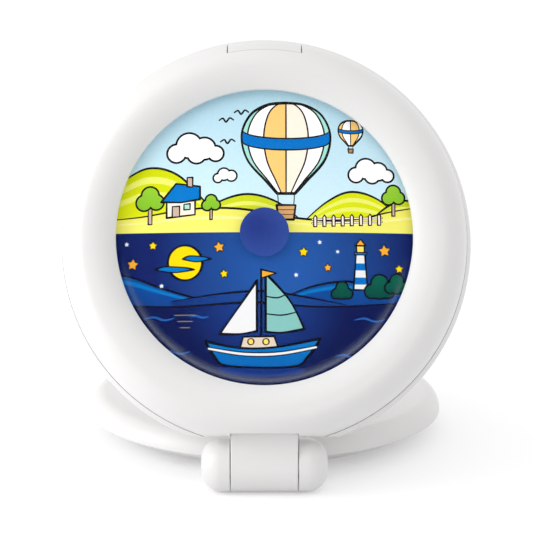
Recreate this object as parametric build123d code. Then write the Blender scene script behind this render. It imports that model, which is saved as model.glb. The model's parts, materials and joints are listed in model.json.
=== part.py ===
from build123d import *
import os
from math import asin, cos, degrees, hypot, radians, sin, sqrt

# Kids' alarm clock with night light, in millimetres.
# A round clock head leans back on a hinge barrel at its lower front edge. The barrel joins it to a
# round dished base, and the head folds back onto that base for travel. +Z is up and the dial faces
# -Y. The origin lies on the table, midway between the clock's foremost and rearmost points.
#
# Pieces of the head are drawn flat on their back: X is to the right, Y runs up the dial from the
# centre of the ring, and Z is the level in front of the hinge axis. Pieces of the base are drawn
# about the base's centre, with the table at Z 0.

# ---- Stance ----
RIGHT_ANGLE = 90
TILT = 18.2  # lean of the dial from the vertical, degrees
BARREL_RADIUS = 8.8
TABLE_GAP = 0.1  # under the barrel
BARREL_SPACE = 1.1  # barrel to the base's edge

# ---- Outside of the head, from the boss outwards ----
BOSS_ROOM = 1.08  # battery bay to the wall of the boss
LIP_MARGIN = 3.0  # lip beyond the boss
LIP_RISE = 0.8  # dial centre above the ring's centre
CRATER_RUN = 8.2  # lip to crest, at the top of the dial
CRATER_DEPTH = 3.3
RING_ROUND = 9.3  # crest to seam
SEAM_STEP = 1.7  # ring smaller than the rim
SEAM_LEVEL = 5.0
SEAM_GAP = 0.25
RIM_LEVEL = 0.5
RING_WALL = 1.4
CRATER_WALL = 1.8
CREST_OVERRUN = 0.02  # the inner slope meets the crest's flat at a small angle
LIP_THICKNESS = 1.8
FLAT_WALL = 2.8
NOTCH_DEPTH = 0.8  # ring above the middle knuckle

# ---- Hinge ----
BARREL_LENGTH = 41.4
MIDDLE_KNUCKLE = 21.8
KNUCKLE_GAP = 0.3
KNUCKLE_EDGE = 0.35  # rounding beside the gaps
BARREL_END_ROUND = 6.8
PIN_RADIUS = 2.0
PIN_LENGTH = 34.6
PIN_FIT = 0.02
PIN_RUNNING = 0.08
WASHER_RADIUS = 4.3
WASHER_THICKNESS = 0.9
WASHER_FIT = 0.1
PIN_END_ROOM = 0.2
FOLD_GAP = 0.3  # head's flat clear of the barrel

# ---- Rear shell ----
SHELL_WALL = 1.8
SKIRT_WALL = 2.2
SKIRT_LEVEL = -2.5
SKIRT_ROUND = 1.3
SKIRT_CHAMFER = 3.2  # inside, between the skirt and the back panel
SHOULDER = 0.2  # shelf under the ring's edge
BACK_LEVEL = 6.0  # outer face of the ring-shaped back panel
BOSS_ROUND = 1.2  # edge of the round hump that holds the batteries and the electronics
TONGUE_FIT = 0.1
TONGUE_WALL = 1.4
WEB_RISE = 9.0
WEB_PAD_LENGTH = 11.0

# ---- Shell screws ----
SCREW_ROOM = 3.0  # dial's collar to the screw posts
SCREW_ANGLES = (30, 150, 210, 330)
SCREW_RADIUS = 1.2
SCREW_LENGTH = 8.0
SCREW_HEAD_RADIUS = 2.2
SCREW_HEAD = 1.5
SCREW_POST_RADIUS = 3.2
SCREW_POST = 4.0
SCREW_FIT = 0.01
SCREW_CLEARANCE = 0.15
PILOT_ROOM = 0.6  # pilot hole beyond the screw's point
RECESS_DEPTH = 0.5  # share of a screw's head that the cross takes
CROSS_HALF = 0.25
CROSS_REACH = 0.65  # share of the head's radius

# ---- Dial ----
LENS_CROWN = 5.3  # middle of the lens in front of its edge
LENS_THICKNESS = 1.5
LENS_EDGE_GAP = 0.1
DIAL_OVERLAP = 3.0  # dial pieces hidden under the lip
COLLAR_FIT = 0.2
COLLAR_WALL = 1.5
LENS_SKIRT_GAP = 0.85  # lens's skirt to the diffuser
LENS_FLANGE = 1.0  # seat inside the lip
PRINT_GAP = 0.6
PRINT_THICKNESS = 0.4
DIFFUSER_THICKNESS = 1.0
GUIDE_THICKNESS = 1.9
LIGHT_BOARD_THICKNESS = 1.2
STACK_GAP = 0.05
LOOSE_FIT = 0.1  # between inner pieces of the head
BADGE_RADIUS = 7.9
BADGE_RISE = 1.0  # badge and day and night line above the dial's centre
BADGE_EDGE = 0.6
BADGE_CROWN = 0.6
BADGE_STUB_RADIUS = 2.5
BADGE_STUB = 3.2
BADGE_SEAT_GAP = 0.02
DIVIDER_WIDTH = 1.2
LED_LENGTH = 3.0
LED_DEPTH = 1.4
LED_HEIGHT = 1.5
LED_INSET = 0.4
LED_NOTCH_GAP = 0.2
LED_SPREAD = (-28, 0, 28)  # degrees from the middle of each half

# ---- Top button ----
BUTTON_WIDTH = 23.8
BUTTON_SLIT = 0.3
BUTTON_REAR_GAP = 0.4  # to the back panel
BUTTON_SETBACK = 2.2  # front edge behind the crest
BUTTON_FRONT_GAP = 0.1
BUTTON_DEPTH = 2.5  # lowest part of the button above the crest
BUTTON_PASSAGE = 3.0  # opening below the button
BUTTON_FLANGE = 2.4
FLANGE_THICKNESS = 1.0
FLANGE_SETBACK = 1.5
BUTTON_TRAVEL = 0.8
PRESS_GAP = 0.1  # left above a switch when its button is down
MARK_SPACING = 4.0
MARK_RADIUS = 0.75
MARK_HEIGHT = 0.25
MARK_SETBACK = 2.0
TOP_BOARD_WIDTH = 22.0
TOP_BOARD_DEPTH = 8.0
TOP_SWITCH_SIDE = 6.0
TOP_SWITCH_HEIGHT = 3.2
PLUNGER_RADIUS = 1.2
PLUNGER = 0.6
STEM_SIDE = 5.0
SHELF_THICKNESS = 0.8

# ---- Battery bay ----
CELL_RADIUS = 5.15
CELL_LENGTH = 44.5
CELL_NUB_RADIUS = 1.9
CELL_NUB = 0.9
CELL_COUNT = 3
CELL_PITCH = 10.5
BAY_CENTRE = -14.9
BAY_END_SPACE = 5.1  # room for the springs
BAY_SIDE_SPACE = 0.35
BAY_WALL = 1.6
DOOR_THICKNESS = 1.3
DOOR_LEDGE = 1.2
DOOR_FIT = 0.2
DOOR_TAB_WIDTH = 10.0
DOOR_TAB = 6.5
DOOR_CORNER = 0.8
DOOR_SCREW_LENGTH = 5.0
DOOR_RIBS = 5
DOOR_RIB_PITCH = 2.0
DOOR_RIB_LENGTH = 21.2
DOOR_RIB_WIDTH = 0.8
DOOR_RIB_DEPTH = 0.4
CELL_FIT = 0.1
CELL_REST = 0.3  # cells above the door
CONTACT_THICKNESS = 0.4
CONTACT_SIDE = 8.0
SPRING_RADIUS = 2.8
SPRING_WIRE = 0.3
SPRING_TURNS = 3

# ---- Main board, display and controls ----
BOARD_LEVEL = 1.0
BOARD_THICKNESS = 1.2
BOARD_SPACE = 1.9  # battery bay to the board
BOARD_ROOM = 0.7  # board's top corners to the boss
BOARD_WIDE = 56.0
BOARD_WIDE_HEIGHT = 15.4
BOARD_NARROW = 45.6
POST_RADIUS = 2.0
BOARD_SCREW_RADIUS = 0.9
POST_INSET = 2.0  # screw posts from the board's edges
POST_DROP = 3.0  # lower screw posts below the board's shoulders
BOARD_SCREW_HEAD = 1.2
BOARD_SCREW_LENGTH = 5.5
DISPLAY_RISE = 14.8  # display's centre above the keys
DISPLAY_SIZE = (36.0, 17.0)
DISPLAY_THICKNESS = 2.2
WINDOW_SIZE = (38.0, 17.0)
WINDOW_THICKNESS = 0.95
WINDOW_LEDGE = 2.0
WINDOW_FIT = 0.1
STRIP_WIDTH = 2.0
STRIP_INSET = 1.0
KEY_RISE = 4.6  # keys above the board's lower edge
KEY_PLACES = {"alarm_key": -23.4, "hour_key": -12.0, "minute_key": 12.0, "mode_key": 23.4}
KEY_RADIUS = 2.8
KEY_PROUD = 0.2
KEY_ROUND = 0.4
KEY_GAP = 0.3
KEY_FLANGE = 1.1
KEY_FLANGE_THICKNESS = 0.9
KEY_STEM_RADIUS = 1.2
KEY_TRAVEL = 0.6
TACT_SIDE = 4.6
TACT_HEIGHT = 1.6
TACT_PLUNGER = 0.4
SLIDE_TRAVEL = 3.5
SLIDE_KNOB = (3.0, 3.0)
SLIDE_FLANGE = (6.0, 5.0)
SLIDE_CASE = (9.0, 4.0)
SLIDE_CASE_HEIGHT = 2.6
SLIDE_PIN = (1.4, 1.0)
SLIDE_PIN_REACH = 0.8
SLIDE_SLOT_DEPTH = 1.2
SLIDE_RIBS = (-0.9, 0, 0.9)
SLIDE_RIB = (0.35, 0.3)  # width and depth of a groove
SPEAKER_DROP = 1.2  # below the keys
SPEAKER_ROOM = 0.7
SPEAKER_RADIUS = 6.4
SPEAKER_HEIGHT = 3.1
CUP_WALL = 0.8
CUP_HEIGHT = 2.0
CONE_EDGE = 1.0
CONE_DEPTH = 0.5
GRILLE_RADIUS = 0.6
GRILLE_CIRCLE = 3.2
GRILLE_HOLES = 6  # around the middle one
CHIP_PLACE = (-8.0, 22.0)
CHIP_SIDE = 9.0
CHIP_HEIGHT = 1.2
HEADER_PLACE = (8.0, 27.0)
HEADER_SIZE = (12.0, 2.6)

# ---- Base ----
NESTING_GAP = 3.2  # base inside the head's skirt when folded
FOLDED_GAP = 0.6  # base's top to the back panel when folded
BASE_EDGE = 7.6  # lower edge of the top cover
BASE_EDGE_ROUND = 5.5
BASE_WALL = 1.6
BASE_UNDERSIDE = 1.2
BASE_FLOOR = 1.3
BELLY = (0.3, 0.3)  # how far the pan's side bulges, outwards and down
WELL_GAP = 1.5  # around the boss when folded
WELL_FLOOR_GAP = 0.5  # under the boss when folded
WELL_ROUND = 1.0
BASE_SEAM = 0.15
BASE_STEP = 0.6  # pan smaller than the cover
BASE_TONGUE = 0.9
BASE_TONGUE_FIT = 0.25
COVER_EDGE_EXTRA = 0.1  # cover's wall thicker at its edge
ARM_OUTSIDE = 16.0
ARM_GAP = 0.4  # arms to the skirt when folded
ARM_LENGTH = 24.5
BASE_SCREW_ROOM = 0.4  # well's wall to the screw posts
BASE_SCREW_ANGLES = (20, 90, 160, 235, 305)
BASE_POST_RADIUS = 2.9
BASE_SCREW_LENGTH = 6.4
BASE_SCREW_RISE = 2.4  # heads above the flat underside, up in the pan's slope
LOWER_POST = 1.2
FOOT_RADIUS = 5.0
FOOT_INSET = 0.6
FOOT_ANGLES = (42, 138)
FOOT_SINK = 0.3
FOOT_FIT = 0.05
STRIP_FOOT = (3.6, 12.0)
STRIP_FOOT_REACH = 12.5  # from the hinge axis

# ---- Worked out from the sizes above ----
AXIS_HEIGHT = BARREL_RADIUS + TABLE_GAP
HALF_MIDDLE = MIDDLE_KNUCKLE / 2
KNUCKLE_START = HALF_MIDDLE + KNUCKLE_GAP

BAY_LENGTH = CELL_LENGTH + BAY_END_SPACE + 2 * CONTACT_THICKNESS
BAY_WIDTH = (CELL_COUNT - 1) * CELL_PITCH + 2 * (CELL_RADIUS + BAY_SIDE_SPACE)
BAY_CORNER = hypot(BAY_LENGTH / 2 + BAY_WALL, BAY_WIDTH / 2 + BAY_WALL - BAY_CENTRE)
BOSS_INSIDE = BAY_CORNER + BOSS_ROOM
BOSS_RADIUS = BOSS_INSIDE + SHELL_WALL

LIP_RADIUS = BOSS_RADIUS + LIP_MARGIN
DIAL_RADIUS = LIP_RADIUS + DIAL_OVERLAP
COLLAR_INSIDE = DIAL_RADIUS + COLLAR_FIT
COLLAR_OUTSIDE = COLLAR_INSIDE + COLLAR_WALL
CREST_RADIUS = LIP_RADIUS + LIP_RISE + CRATER_RUN
SEAM_RADIUS = CREST_RADIUS + RING_ROUND
RIM_RADIUS = SEAM_RADIUS + SEAM_STEP
SCREW_CIRCLE = COLLAR_OUTSIDE + SCREW_ROOM + SCREW_POST_RADIUS
REACH = 4 * RIM_RADIUS  # longer than any piece

BASE_RADIUS = RIM_RADIUS - SKIRT_WALL - NESTING_GAP
HINGE_TO_CENTRE = BASE_RADIUS + BARREL_SPACE + BARREL_RADIUS  # for the ring and for the base
WELL_RADIUS = BOSS_RADIUS + WELL_GAP
FLOOR_TOP = BASE_UNDERSIDE + BASE_FLOOR
BASE_TOP = AXIS_HEIGHT + BACK_LEVEL - FOLDED_GAP
ARM_TOP = AXIS_HEIGHT + SKIRT_LEVEL - ARM_GAP
FLAT_FLOOR_RADIUS = WELL_RADIUS + BASE_WALL
PAN_SHOULDER = BASE_EDGE - BASE_SEAM
PAN_RADIUS = BASE_RADIUS - BASE_STEP
BASE_SCREW_LEVEL = BASE_UNDERSIDE + BASE_SCREW_RISE
LOWER_POST_TOP = BASE_SCREW_LEVEL + SCREW_HEAD + LOWER_POST
BASE_SCREW_CIRCLE = WELL_RADIUS + BASE_WALL + BASE_SCREW_ROOM + BASE_POST_RADIUS
FOOT_CIRCLE = FLAT_FLOOR_RADIUS - FOOT_INSET - FOOT_RADIUS
FLAT = BARREL_RADIUS + FOLD_GAP - HINGE_TO_CENTRE

BOSS_LEVEL = FLOOR_TOP + WELL_FLOOR_GAP - AXIS_HEIGHT
BOSS_FLOOR = BOSS_LEVEL + SHELL_WALL
PANEL_LEVEL = BACK_LEVEL + SHELL_WALL
GUIDE_LEVEL = PANEL_LEVEL + LIGHT_BOARD_THICKNESS + STACK_GAP
DIFFUSER_LEVEL = GUIDE_LEVEL + GUIDE_THICKNESS + STACK_GAP
DIFFUSER_FRONT = DIFFUSER_LEVEL + DIFFUSER_THICKNESS
LENS_BALL = (LIP_RADIUS**2 + LENS_CROWN**2) / (2 * LENS_CROWN)
PRINT_BALL = LENS_BALL - LENS_THICKNESS - PRINT_GAP
PRINT_RADIUS = DIAL_RADIUS - LOOSE_FIT
PRINT_EDGE = sqrt((PRINT_BALL - PRINT_THICKNESS) ** 2 - PRINT_RADIUS**2)
LENS_BALL_LEVEL = DIFFUSER_FRONT + STACK_GAP - PRINT_EDGE
LENS_LEVEL = LENS_BALL_LEVEL + LENS_BALL
SEAT_LEVEL = LENS_LEVEL - LENS_CROWN + LENS_EDGE_GAP
LIP_LEVEL = SEAT_LEVEL + LIP_THICKNESS
CREST_LEVEL = LIP_LEVEL + CRATER_DEPTH
CRATER_DROP = CRATER_DEPTH + CREST_OVERRUN
CRATER_ARC = (CRATER_RUN**2 + CRATER_DROP**2) / (2 * CRATER_DROP)
BADGE_PLACE = LIP_RISE + BADGE_RISE

BAY_FLOOR = BOSS_LEVEL + DOOR_THICKNESS + CELL_FIT
CELL_LEVEL = BAY_FLOOR + CELL_REST + CELL_RADIUS
BAY_CEILING = CELL_LEVEL + CELL_RADIUS + CELL_FIT
BOARD_BOTTOM = BAY_CENTRE + BAY_WIDTH / 2 + BAY_WALL + BOARD_SPACE
BOARD_SHOULDER = BOARD_BOTTOM + BOARD_WIDE_HEIGHT
BOARD_TOP = sqrt(BOSS_INSIDE**2 - (BOARD_NARROW / 2) ** 2) - BOARD_ROOM
BOARD_FRONT = BOARD_LEVEL + BOARD_THICKNESS
LOW_POST = BOARD_WIDE / 2 - POST_INSET, BOARD_SHOULDER - POST_DROP
HIGH_POST = BOARD_NARROW / 2 - POST_INSET, BOARD_TOP - POST_INSET
BOARD_POSTS = [(side * x, y) for x, y in (LOW_POST, HIGH_POST) for side in (-1, 1)]
KEY_ROW = BOARD_BOTTOM + KEY_RISE
DISPLAY_CENTRE = KEY_ROW + DISPLAY_RISE
SPEAKER_ROW = KEY_ROW - SPEAKER_DROP
SPEAKER_PLACE = sqrt((BOSS_INSIDE - SPEAKER_RADIUS - SPEAKER_ROOM) ** 2 - SPEAKER_ROW**2), SPEAKER_ROW

SHELF_TOP = LIP_RISE + COLLAR_OUTSIDE + COLLAR_FIT + SHELF_THICKNESS
TOP_SWITCH_FOOT = SHELF_TOP + BOARD_THICKNESS
TOP_PLUNGER = TOP_SWITCH_FOOT + TOP_SWITCH_HEIGHT + PLUNGER
BUTTON_REAR = PANEL_LEVEL + BUTTON_REAR_GAP
BUTTON_FRONT = CREST_LEVEL - BUTTON_SETBACK
BUTTON_FLOOR = CREST_RADIUS + BUTTON_DEPTH


# ---- Helpers ----
def turned(outline):
    """Solid of revolution about Z, from a closed outline of radius and level."""
    return revolve(make_face(Plane.XZ * outline), Axis.Z)


def block(x_span, y_span, z_span):
    """Box between two values on each axis."""
    spans = (x_span, y_span, z_span)
    size = [high - low for low, high in spans]
    middle = [(high + low) / 2 for low, high in spans]
    return Pos(*middle) * Box(*size)


def disc(radius, z_span, place=(0, 0)):
    """Upright cylinder between two levels."""
    low, high = z_span
    return Pos(place[0], place[1], (low + high) / 2) * Cylinder(radius, high - low)


def tube(outer, inner, z_span, place=(0, 0)):
    """Upright tube between two levels."""
    return disc(outer, z_span, place) - disc(inner, z_span, place)


def crosswise(radius, x_span, y, z):
    """Cylinder along X between two values of X."""
    low, high = x_span
    return Pos((low + high) / 2, y, z) * Rotation(0, RIGHT_ANGLE, 0) * Cylinder(radius, high - low)


def ball(radius, level):
    """Ball on the dial's axis, with its centre at a level."""
    return Pos(0, LIP_RISE, level) * Sphere(radius)


def polar(radius, angle):
    """Point on a circle, from its angle in degrees."""
    return radius * cos(radians(angle)), radius * sin(radians(angle))


def group(solids):
    """Separate solids that share one node."""
    return Compound([piece.solid() for piece in solids])


def screw(head_radius, head, shank_radius, length):
    """Cross-head screw that points up from its head, with the head's face at level 0."""
    body = disc(head_radius, (0, head)) + disc(shank_radius, (0, head + length))
    reach = CROSS_REACH * head_radius
    for turn in (0, RIGHT_ANGLE):
        slot = block((-reach, reach), (-CROSS_HALF, CROSS_HALF), (0, head * RECESS_DEPTH))
        body -= Rotation(0, 0, turn) * slot
    return body


# ---- Shape of the ring ----
def quarter_oval(centre, width, height):
    """Quarter of an oval, from its rightmost point round to its top."""
    return EllipticalCenterArc(centre, width, height, start_angle=0, arc_size=RIGHT_ANGLE)


def dome(inset):
    """Solid under the ring's outer surface, with that surface moved inwards by inset."""
    width = SEAM_RADIUS - CREST_RADIUS - inset
    height = CREST_LEVEL - SEAM_LEVEL - inset
    front = SEAM_LEVEL + height
    side = CREST_RADIUS + width
    sides = Polyline((CREST_RADIUS, front), (0, front), (0, SEAM_LEVEL), (side, SEAM_LEVEL))
    return turned(sides + quarter_oval((CREST_RADIUS, SEAM_LEVEL), width, height))


def ring_inside(level):
    """Radius of the ring's inner surface at a level."""
    width = SEAM_RADIUS - CREST_RADIUS - RING_WALL
    height = CREST_LEVEL - SEAM_LEVEL - RING_WALL
    return CREST_RADIUS + width * sqrt(1 - ((level - SEAM_LEVEL) / height) ** 2)


def crater(skin):
    """Hollow in front of the dial, grown by skin into the ring."""
    centre = (LIP_RADIUS + CRATER_RUN, CREST_LEVEL + CREST_OVERRUN - CRATER_ARC)
    radius = CRATER_ARC - skin
    sweep_angle = degrees(asin(CRATER_RUN / radius))
    lip_level = centre[1] + sqrt(radius**2 - CRATER_RUN**2)
    sides = Polyline(
        (LIP_RADIUS, lip_level),
        (LIP_RADIUS, 0),
        (0, 0),
        (0, 2 * CREST_LEVEL),
        (centre[0], 2 * CREST_LEVEL),
        (centre[0], centre[1] + radius),
    )
    return Pos(0, LIP_RISE, 0) * turned(sides + CenterArc(centre, radius, RIGHT_ANGLE, sweep_angle))


def button_opening():
    """Opening in the ring for the top button."""
    half = BUTTON_WIDTH / 2 + BUTTON_SLIT
    z_span = (BUTTON_REAR - BUTTON_FRONT_GAP, BUTTON_FRONT + BUTTON_FRONT_GAP)
    return block((-half, half), (BUTTON_FLOOR - BUTTON_PASSAGE, REACH), z_span)


def front_ring():
    dial_centre = (0, LIP_RISE)
    kept = crater(CRATER_WALL) & block((-REACH, REACH), (-REACH, REACH), (SEAT_LEVEL, REACH))
    kept += disc(COLLAR_OUTSIDE, (SEAT_LEVEL, CREST_LEVEL - CRATER_WALL), dial_centre)
    kept += tube(COLLAR_OUTSIDE, COLLAR_INSIDE, (PANEL_LEVEL + COLLAR_FIT, LIP_LEVEL), dial_centre)
    kept += block((-REACH, REACH), (-REACH, FLAT + FLAT_WALL), (PANEL_LEVEL + LOOSE_FIT, REACH))
    notch_half = HALF_MIDDLE + KNUCKLE_GAP / 2
    web_room = BARREL_RADIUS + LOOSE_FIT
    kept -= block((-notch_half, notch_half), (-REACH, FLAT + FLAT_WALL), (0, web_room))
    ring = dome(0) - crater(0) - (dome(RING_WALL) - kept)
    for angle in SCREW_ANGLES:
        post = disc(SCREW_POST_RADIUS, (BACK_LEVEL + SCREW_POST, CREST_LEVEL), polar(SCREW_CIRCLE, angle))
        ring += post & dome(RING_WALL / 2)
    for angle in SCREW_ANGLES:
        pilot = BACK_LEVEL + SCREW_HEAD + SCREW_LENGTH + PILOT_ROOM
        ring -= disc(SCREW_RADIUS + SCREW_FIT, (0, pilot), polar(SCREW_CIRCLE, angle))
    ring -= block((-REACH, REACH), (-REACH, FLAT), (-REACH, REACH))
    ring -= block((-notch_half, notch_half), (-REACH, FLAT + NOTCH_DEPTH), (-REACH, REACH))
    return ring - button_opening()


# ---- Rear shell ----
def shell_body():
    """Turned pan of the rear shell: skirt, back panel and boss."""
    skirt_inside = RIM_RADIUS - SKIRT_WALL
    skirt_foot = RIM_RADIUS - SKIRT_ROUND
    shoulder = SEAM_LEVEL - SEAM_GAP
    shoulder_edge = (SEAM_RADIUS + SHOULDER, shoulder)
    tongue = ring_inside(PANEL_LEVEL) - TONGUE_FIT
    outline = Polyline(
        (skirt_foot, SKIRT_LEVEL),
        (skirt_inside, SKIRT_LEVEL),
        (skirt_inside, BACK_LEVEL - SKIRT_CHAMFER),
        (skirt_inside - SKIRT_CHAMFER, BACK_LEVEL),
        (BOSS_RADIUS, BACK_LEVEL),
        (BOSS_RADIUS, BOSS_LEVEL + BOSS_ROUND),
    )
    round_end = (BOSS_RADIUS - BOSS_ROUND, BOSS_LEVEL)
    outline += RadiusArc((BOSS_RADIUS, BOSS_LEVEL + BOSS_ROUND), round_end, BOSS_ROUND)
    outline += Polyline(
        round_end,
        (0, BOSS_LEVEL),
        (0, BOSS_FLOOR),
        (BOSS_INSIDE, BOSS_FLOOR),
        (BOSS_INSIDE, PANEL_LEVEL),
        (tongue, PANEL_LEVEL),
        (tongue, shoulder),
        shoulder_edge,
    )
    side = (RIM_RADIUS, RIM_LEVEL)
    outline += Spline(shoulder_edge, side, (skirt_foot, SKIRT_LEVEL))
    return turned(outline)


def middle_knuckle():
    """Barrel's middle, with the web that carries the head, in line with the barrel's front."""
    x_span = (-HALF_MIDDLE, HALF_MIDDLE)
    web_end = WEB_RISE - HINGE_TO_CENTRE
    barrel = crosswise(BARREL_RADIUS, x_span, -HINGE_TO_CENTRE, 0)
    barrel = fillet(barrel.edges().filter_by(GeomType.CIRCLE), KNUCKLE_EDGE)
    web = block(x_span, (-HINGE_TO_CENTRE, web_end), (SKIRT_LEVEL, BARREL_RADIUS))
    web = fillet(web.edges().filter_by(Axis.Y).group_by(Axis.Z)[-1], KNUCKLE_EDGE)
    return barrel + web + block(x_span, (web_end, web_end + WEB_PAD_LENGTH), (BACK_LEVEL, BARREL_RADIUS))


def bay_span(margin):
    """Sides of the battery bay, grown by margin."""
    half_length = BAY_LENGTH / 2 + margin
    half_width = BAY_WIDTH / 2 + margin
    return (-half_length, half_length), (BAY_CENTRE - half_width, BAY_CENTRE + half_width)


def door_outline(fit, z_span):
    """Battery door or its recess, with its screw tab at the lower edge."""
    x_span, y_span = bay_span(DOOR_LEDGE - fit)
    tab_half = DOOR_TAB_WIDTH / 2 - fit
    tab = block((-tab_half, tab_half), (y_span[0] - DOOR_TAB, BAY_CENTRE), z_span)
    return block(x_span, y_span, z_span) + tab


def door_screw_place():
    return 0, BAY_CENTRE - BAY_WIDTH / 2 - DOOR_LEDGE - DOOR_TAB / 2


def window_block(size, z_span):
    """Upright block about the display's centre."""
    half_x, half_y = size[0] / 2, size[1] / 2
    return block((-half_x, half_x), (DISPLAY_CENTRE - half_y, DISPLAY_CENTRE + half_y), z_span)


def slide_block(size, z_span, x=0.0):
    """Upright block in the key row, centred at x."""
    half_x, half_y = size[0] / 2, size[1] / 2
    return block((x - half_x, x + half_x), (KEY_ROW - half_y, KEY_ROW + half_y), z_span)


def rear_shell():
    shell = shell_body()
    shell -= block((-REACH, REACH), (-REACH, FLAT), (-REACH, REACH))
    shell += middle_knuckle()
    shell -= crosswise(PIN_RADIUS + PIN_RUNNING, (-HALF_MIDDLE, HALF_MIDDLE), -HINGE_TO_CENTRE, 0)
    for angle in SCREW_ANGLES:
        place = polar(SCREW_CIRCLE, angle)
        shell += disc(SCREW_POST_RADIUS, (BACK_LEVEL, BACK_LEVEL + SCREW_POST), place)
        shell -= disc(SCREW_HEAD_RADIUS + SCREW_CLEARANCE, (BACK_LEVEL, BACK_LEVEL + SCREW_HEAD), place)
        shell -= disc(SCREW_RADIUS + SCREW_CLEARANCE, (BACK_LEVEL, BACK_LEVEL + SCREW_POST), place)
    # battery bay, door recess and the door screw's post
    inner_span = (BOSS_FLOOR - SHELL_WALL / 2, PANEL_LEVEL)
    shell += block(*bay_span(BAY_WALL), inner_span)
    shell += disc(SCREW_POST_RADIUS, inner_span, door_screw_place())
    shell -= block(*bay_span(0), (BOSS_LEVEL, BAY_CEILING))
    shell -= door_outline(0, (BOSS_LEVEL, BAY_FLOOR))
    pilot = BOSS_LEVEL + DOOR_THICKNESS / 2 + DOOR_SCREW_LENGTH + PILOT_ROOM
    shell -= disc(SCREW_RADIUS + SCREW_FIT, (BOSS_LEVEL, pilot), door_screw_place())
    # display window, keys, slide switch and speaker grille
    ledge = WINDOW_SIZE[0] - 2 * WINDOW_LEDGE, WINDOW_SIZE[1] - 2 * WINDOW_LEDGE
    shell -= window_block(WINDOW_SIZE, (BOSS_LEVEL, BOSS_LEVEL + WINDOW_THICKNESS + STACK_GAP))
    shell -= window_block(ledge, (BOSS_LEVEL, BOSS_FLOOR))
    for x in KEY_PLACES.values():
        shell -= disc(KEY_RADIUS + KEY_GAP, (BOSS_LEVEL, BOSS_FLOOR), (x, KEY_ROW))
    slot = SLIDE_KNOB[0] + SLIDE_TRAVEL + 2 * KEY_GAP, SLIDE_KNOB[1] + 2 * KEY_GAP
    shell -= slide_block(slot, (BOSS_LEVEL, BOSS_FLOOR))
    for x, y in BOARD_POSTS:
        shell += disc(POST_RADIUS, (BOSS_FLOOR, BOARD_LEVEL), (x, y))
        pilot = BOARD_FRONT - BOARD_SCREW_LENGTH - PILOT_ROOM / 2
        shell -= disc(BOARD_SCREW_RADIUS + SCREW_FIT, (pilot, BOARD_LEVEL), (x, y))
    cup_inside = SPEAKER_RADIUS + LOOSE_FIT
    cup = tube(cup_inside + CUP_WALL, cup_inside, (BOSS_FLOOR, BOSS_FLOOR + CUP_HEIGHT), SPEAKER_PLACE)
    shell += cup & disc(BOSS_INSIDE + SHELL_WALL / 2, (BOSS_FLOOR, PANEL_LEVEL))
    for hole in range(GRILLE_HOLES + 1):
        x, y = polar(GRILLE_CIRCLE if hole else 0, 360 / GRILLE_HOLES * hole)
        place = (SPEAKER_PLACE[0] + x, SPEAKER_PLACE[1] + y)
        shell -= disc(GRILLE_RADIUS, (BOSS_LEVEL, BOSS_FLOOR), place)
    return shell + shelf()


def shelf():
    """Ledge over the dial's collar, which carries the top board."""
    half = TOP_BOARD_WIDTH / 2
    z_span = (PANEL_LEVEL - SHELL_WALL / 2, PANEL_LEVEL + TOP_BOARD_DEPTH)
    return block((-half, half), (SHELF_TOP - SHELF_THICKNESS, SHELF_TOP), z_span)


# ---- Dial ----
def dial_lens():
    lens = ball(LENS_BALL, LENS_BALL_LEVEL) - ball(LENS_BALL - LENS_THICKNESS, LENS_BALL_LEVEL)
    centre = (0, LIP_RISE)
    seat_back = SEAT_LEVEL - LENS_THICKNESS
    inside = DIAL_RADIUS - LENS_THICKNESS
    lens &= disc(DIAL_RADIUS, (seat_back, 2 * LENS_LEVEL), centre)
    lens -= tube(2 * DIAL_RADIUS, LIP_RADIUS, (SEAT_LEVEL, LENS_LEVEL), centre)
    lens += tube(DIAL_RADIUS, inside, (DIFFUSER_FRONT + LENS_SKIRT_GAP, SEAT_LEVEL), centre)
    lens += tube(DIAL_RADIUS, LIP_RADIUS - LENS_FLANGE, (seat_back, SEAT_LEVEL - LENS_EDGE_GAP), centre)
    return lens - disc(BADGE_STUB_RADIUS + LOOSE_FIT, (0, REACH), (0, BADGE_PLACE))


def dial_print():
    film = ball(PRINT_BALL, LENS_BALL_LEVEL) - ball(PRINT_BALL - PRINT_THICKNESS, LENS_BALL_LEVEL)
    film &= disc(PRINT_RADIUS, (0, REACH), (0, LIP_RISE))
    return film - disc(BADGE_STUB_RADIUS + LOOSE_FIT, (0, REACH), (0, BADGE_PLACE))


def centre_badge():
    rim_level = LENS_LEVEL + BADGE_EDGE
    crown = rim_level + BADGE_CROWN
    crown_ball = (BADGE_RADIUS**2 + BADGE_CROWN**2) / (2 * BADGE_CROWN)
    badge = disc(BADGE_RADIUS, (LENS_LEVEL - BADGE_STUB, crown), (0, BADGE_PLACE))
    badge &= Pos(0, BADGE_PLACE, crown - crown_ball) * Sphere(crown_ball)
    badge -= ball(LENS_BALL + BADGE_SEAT_GAP, LENS_BALL_LEVEL)
    return badge + disc(BADGE_STUB_RADIUS, (LENS_LEVEL - BADGE_STUB, rim_level), (0, BADGE_PLACE))


def diffuser():
    return disc(DIAL_RADIUS - LOOSE_FIT, (DIFFUSER_LEVEL, DIFFUSER_FRONT), (0, LIP_RISE))


def led_block(angle, margin, z_span):
    """One light-emitting diode at the dial's edge, or its notch."""
    half = LED_LENGTH / 2 + margin
    radius = DIAL_RADIUS - LED_INSET + margin
    upright = block((radius - LED_DEPTH - 2 * margin, radius), (-half, half), z_span)
    return Pos(0, LIP_RISE, 0) * Rotation(0, 0, angle) * upright


def leds(middle):
    level = GUIDE_LEVEL - STACK_GAP
    return group([led_block(middle + turn, 0, (level, level + LED_HEIGHT)) for turn in LED_SPREAD])


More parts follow.
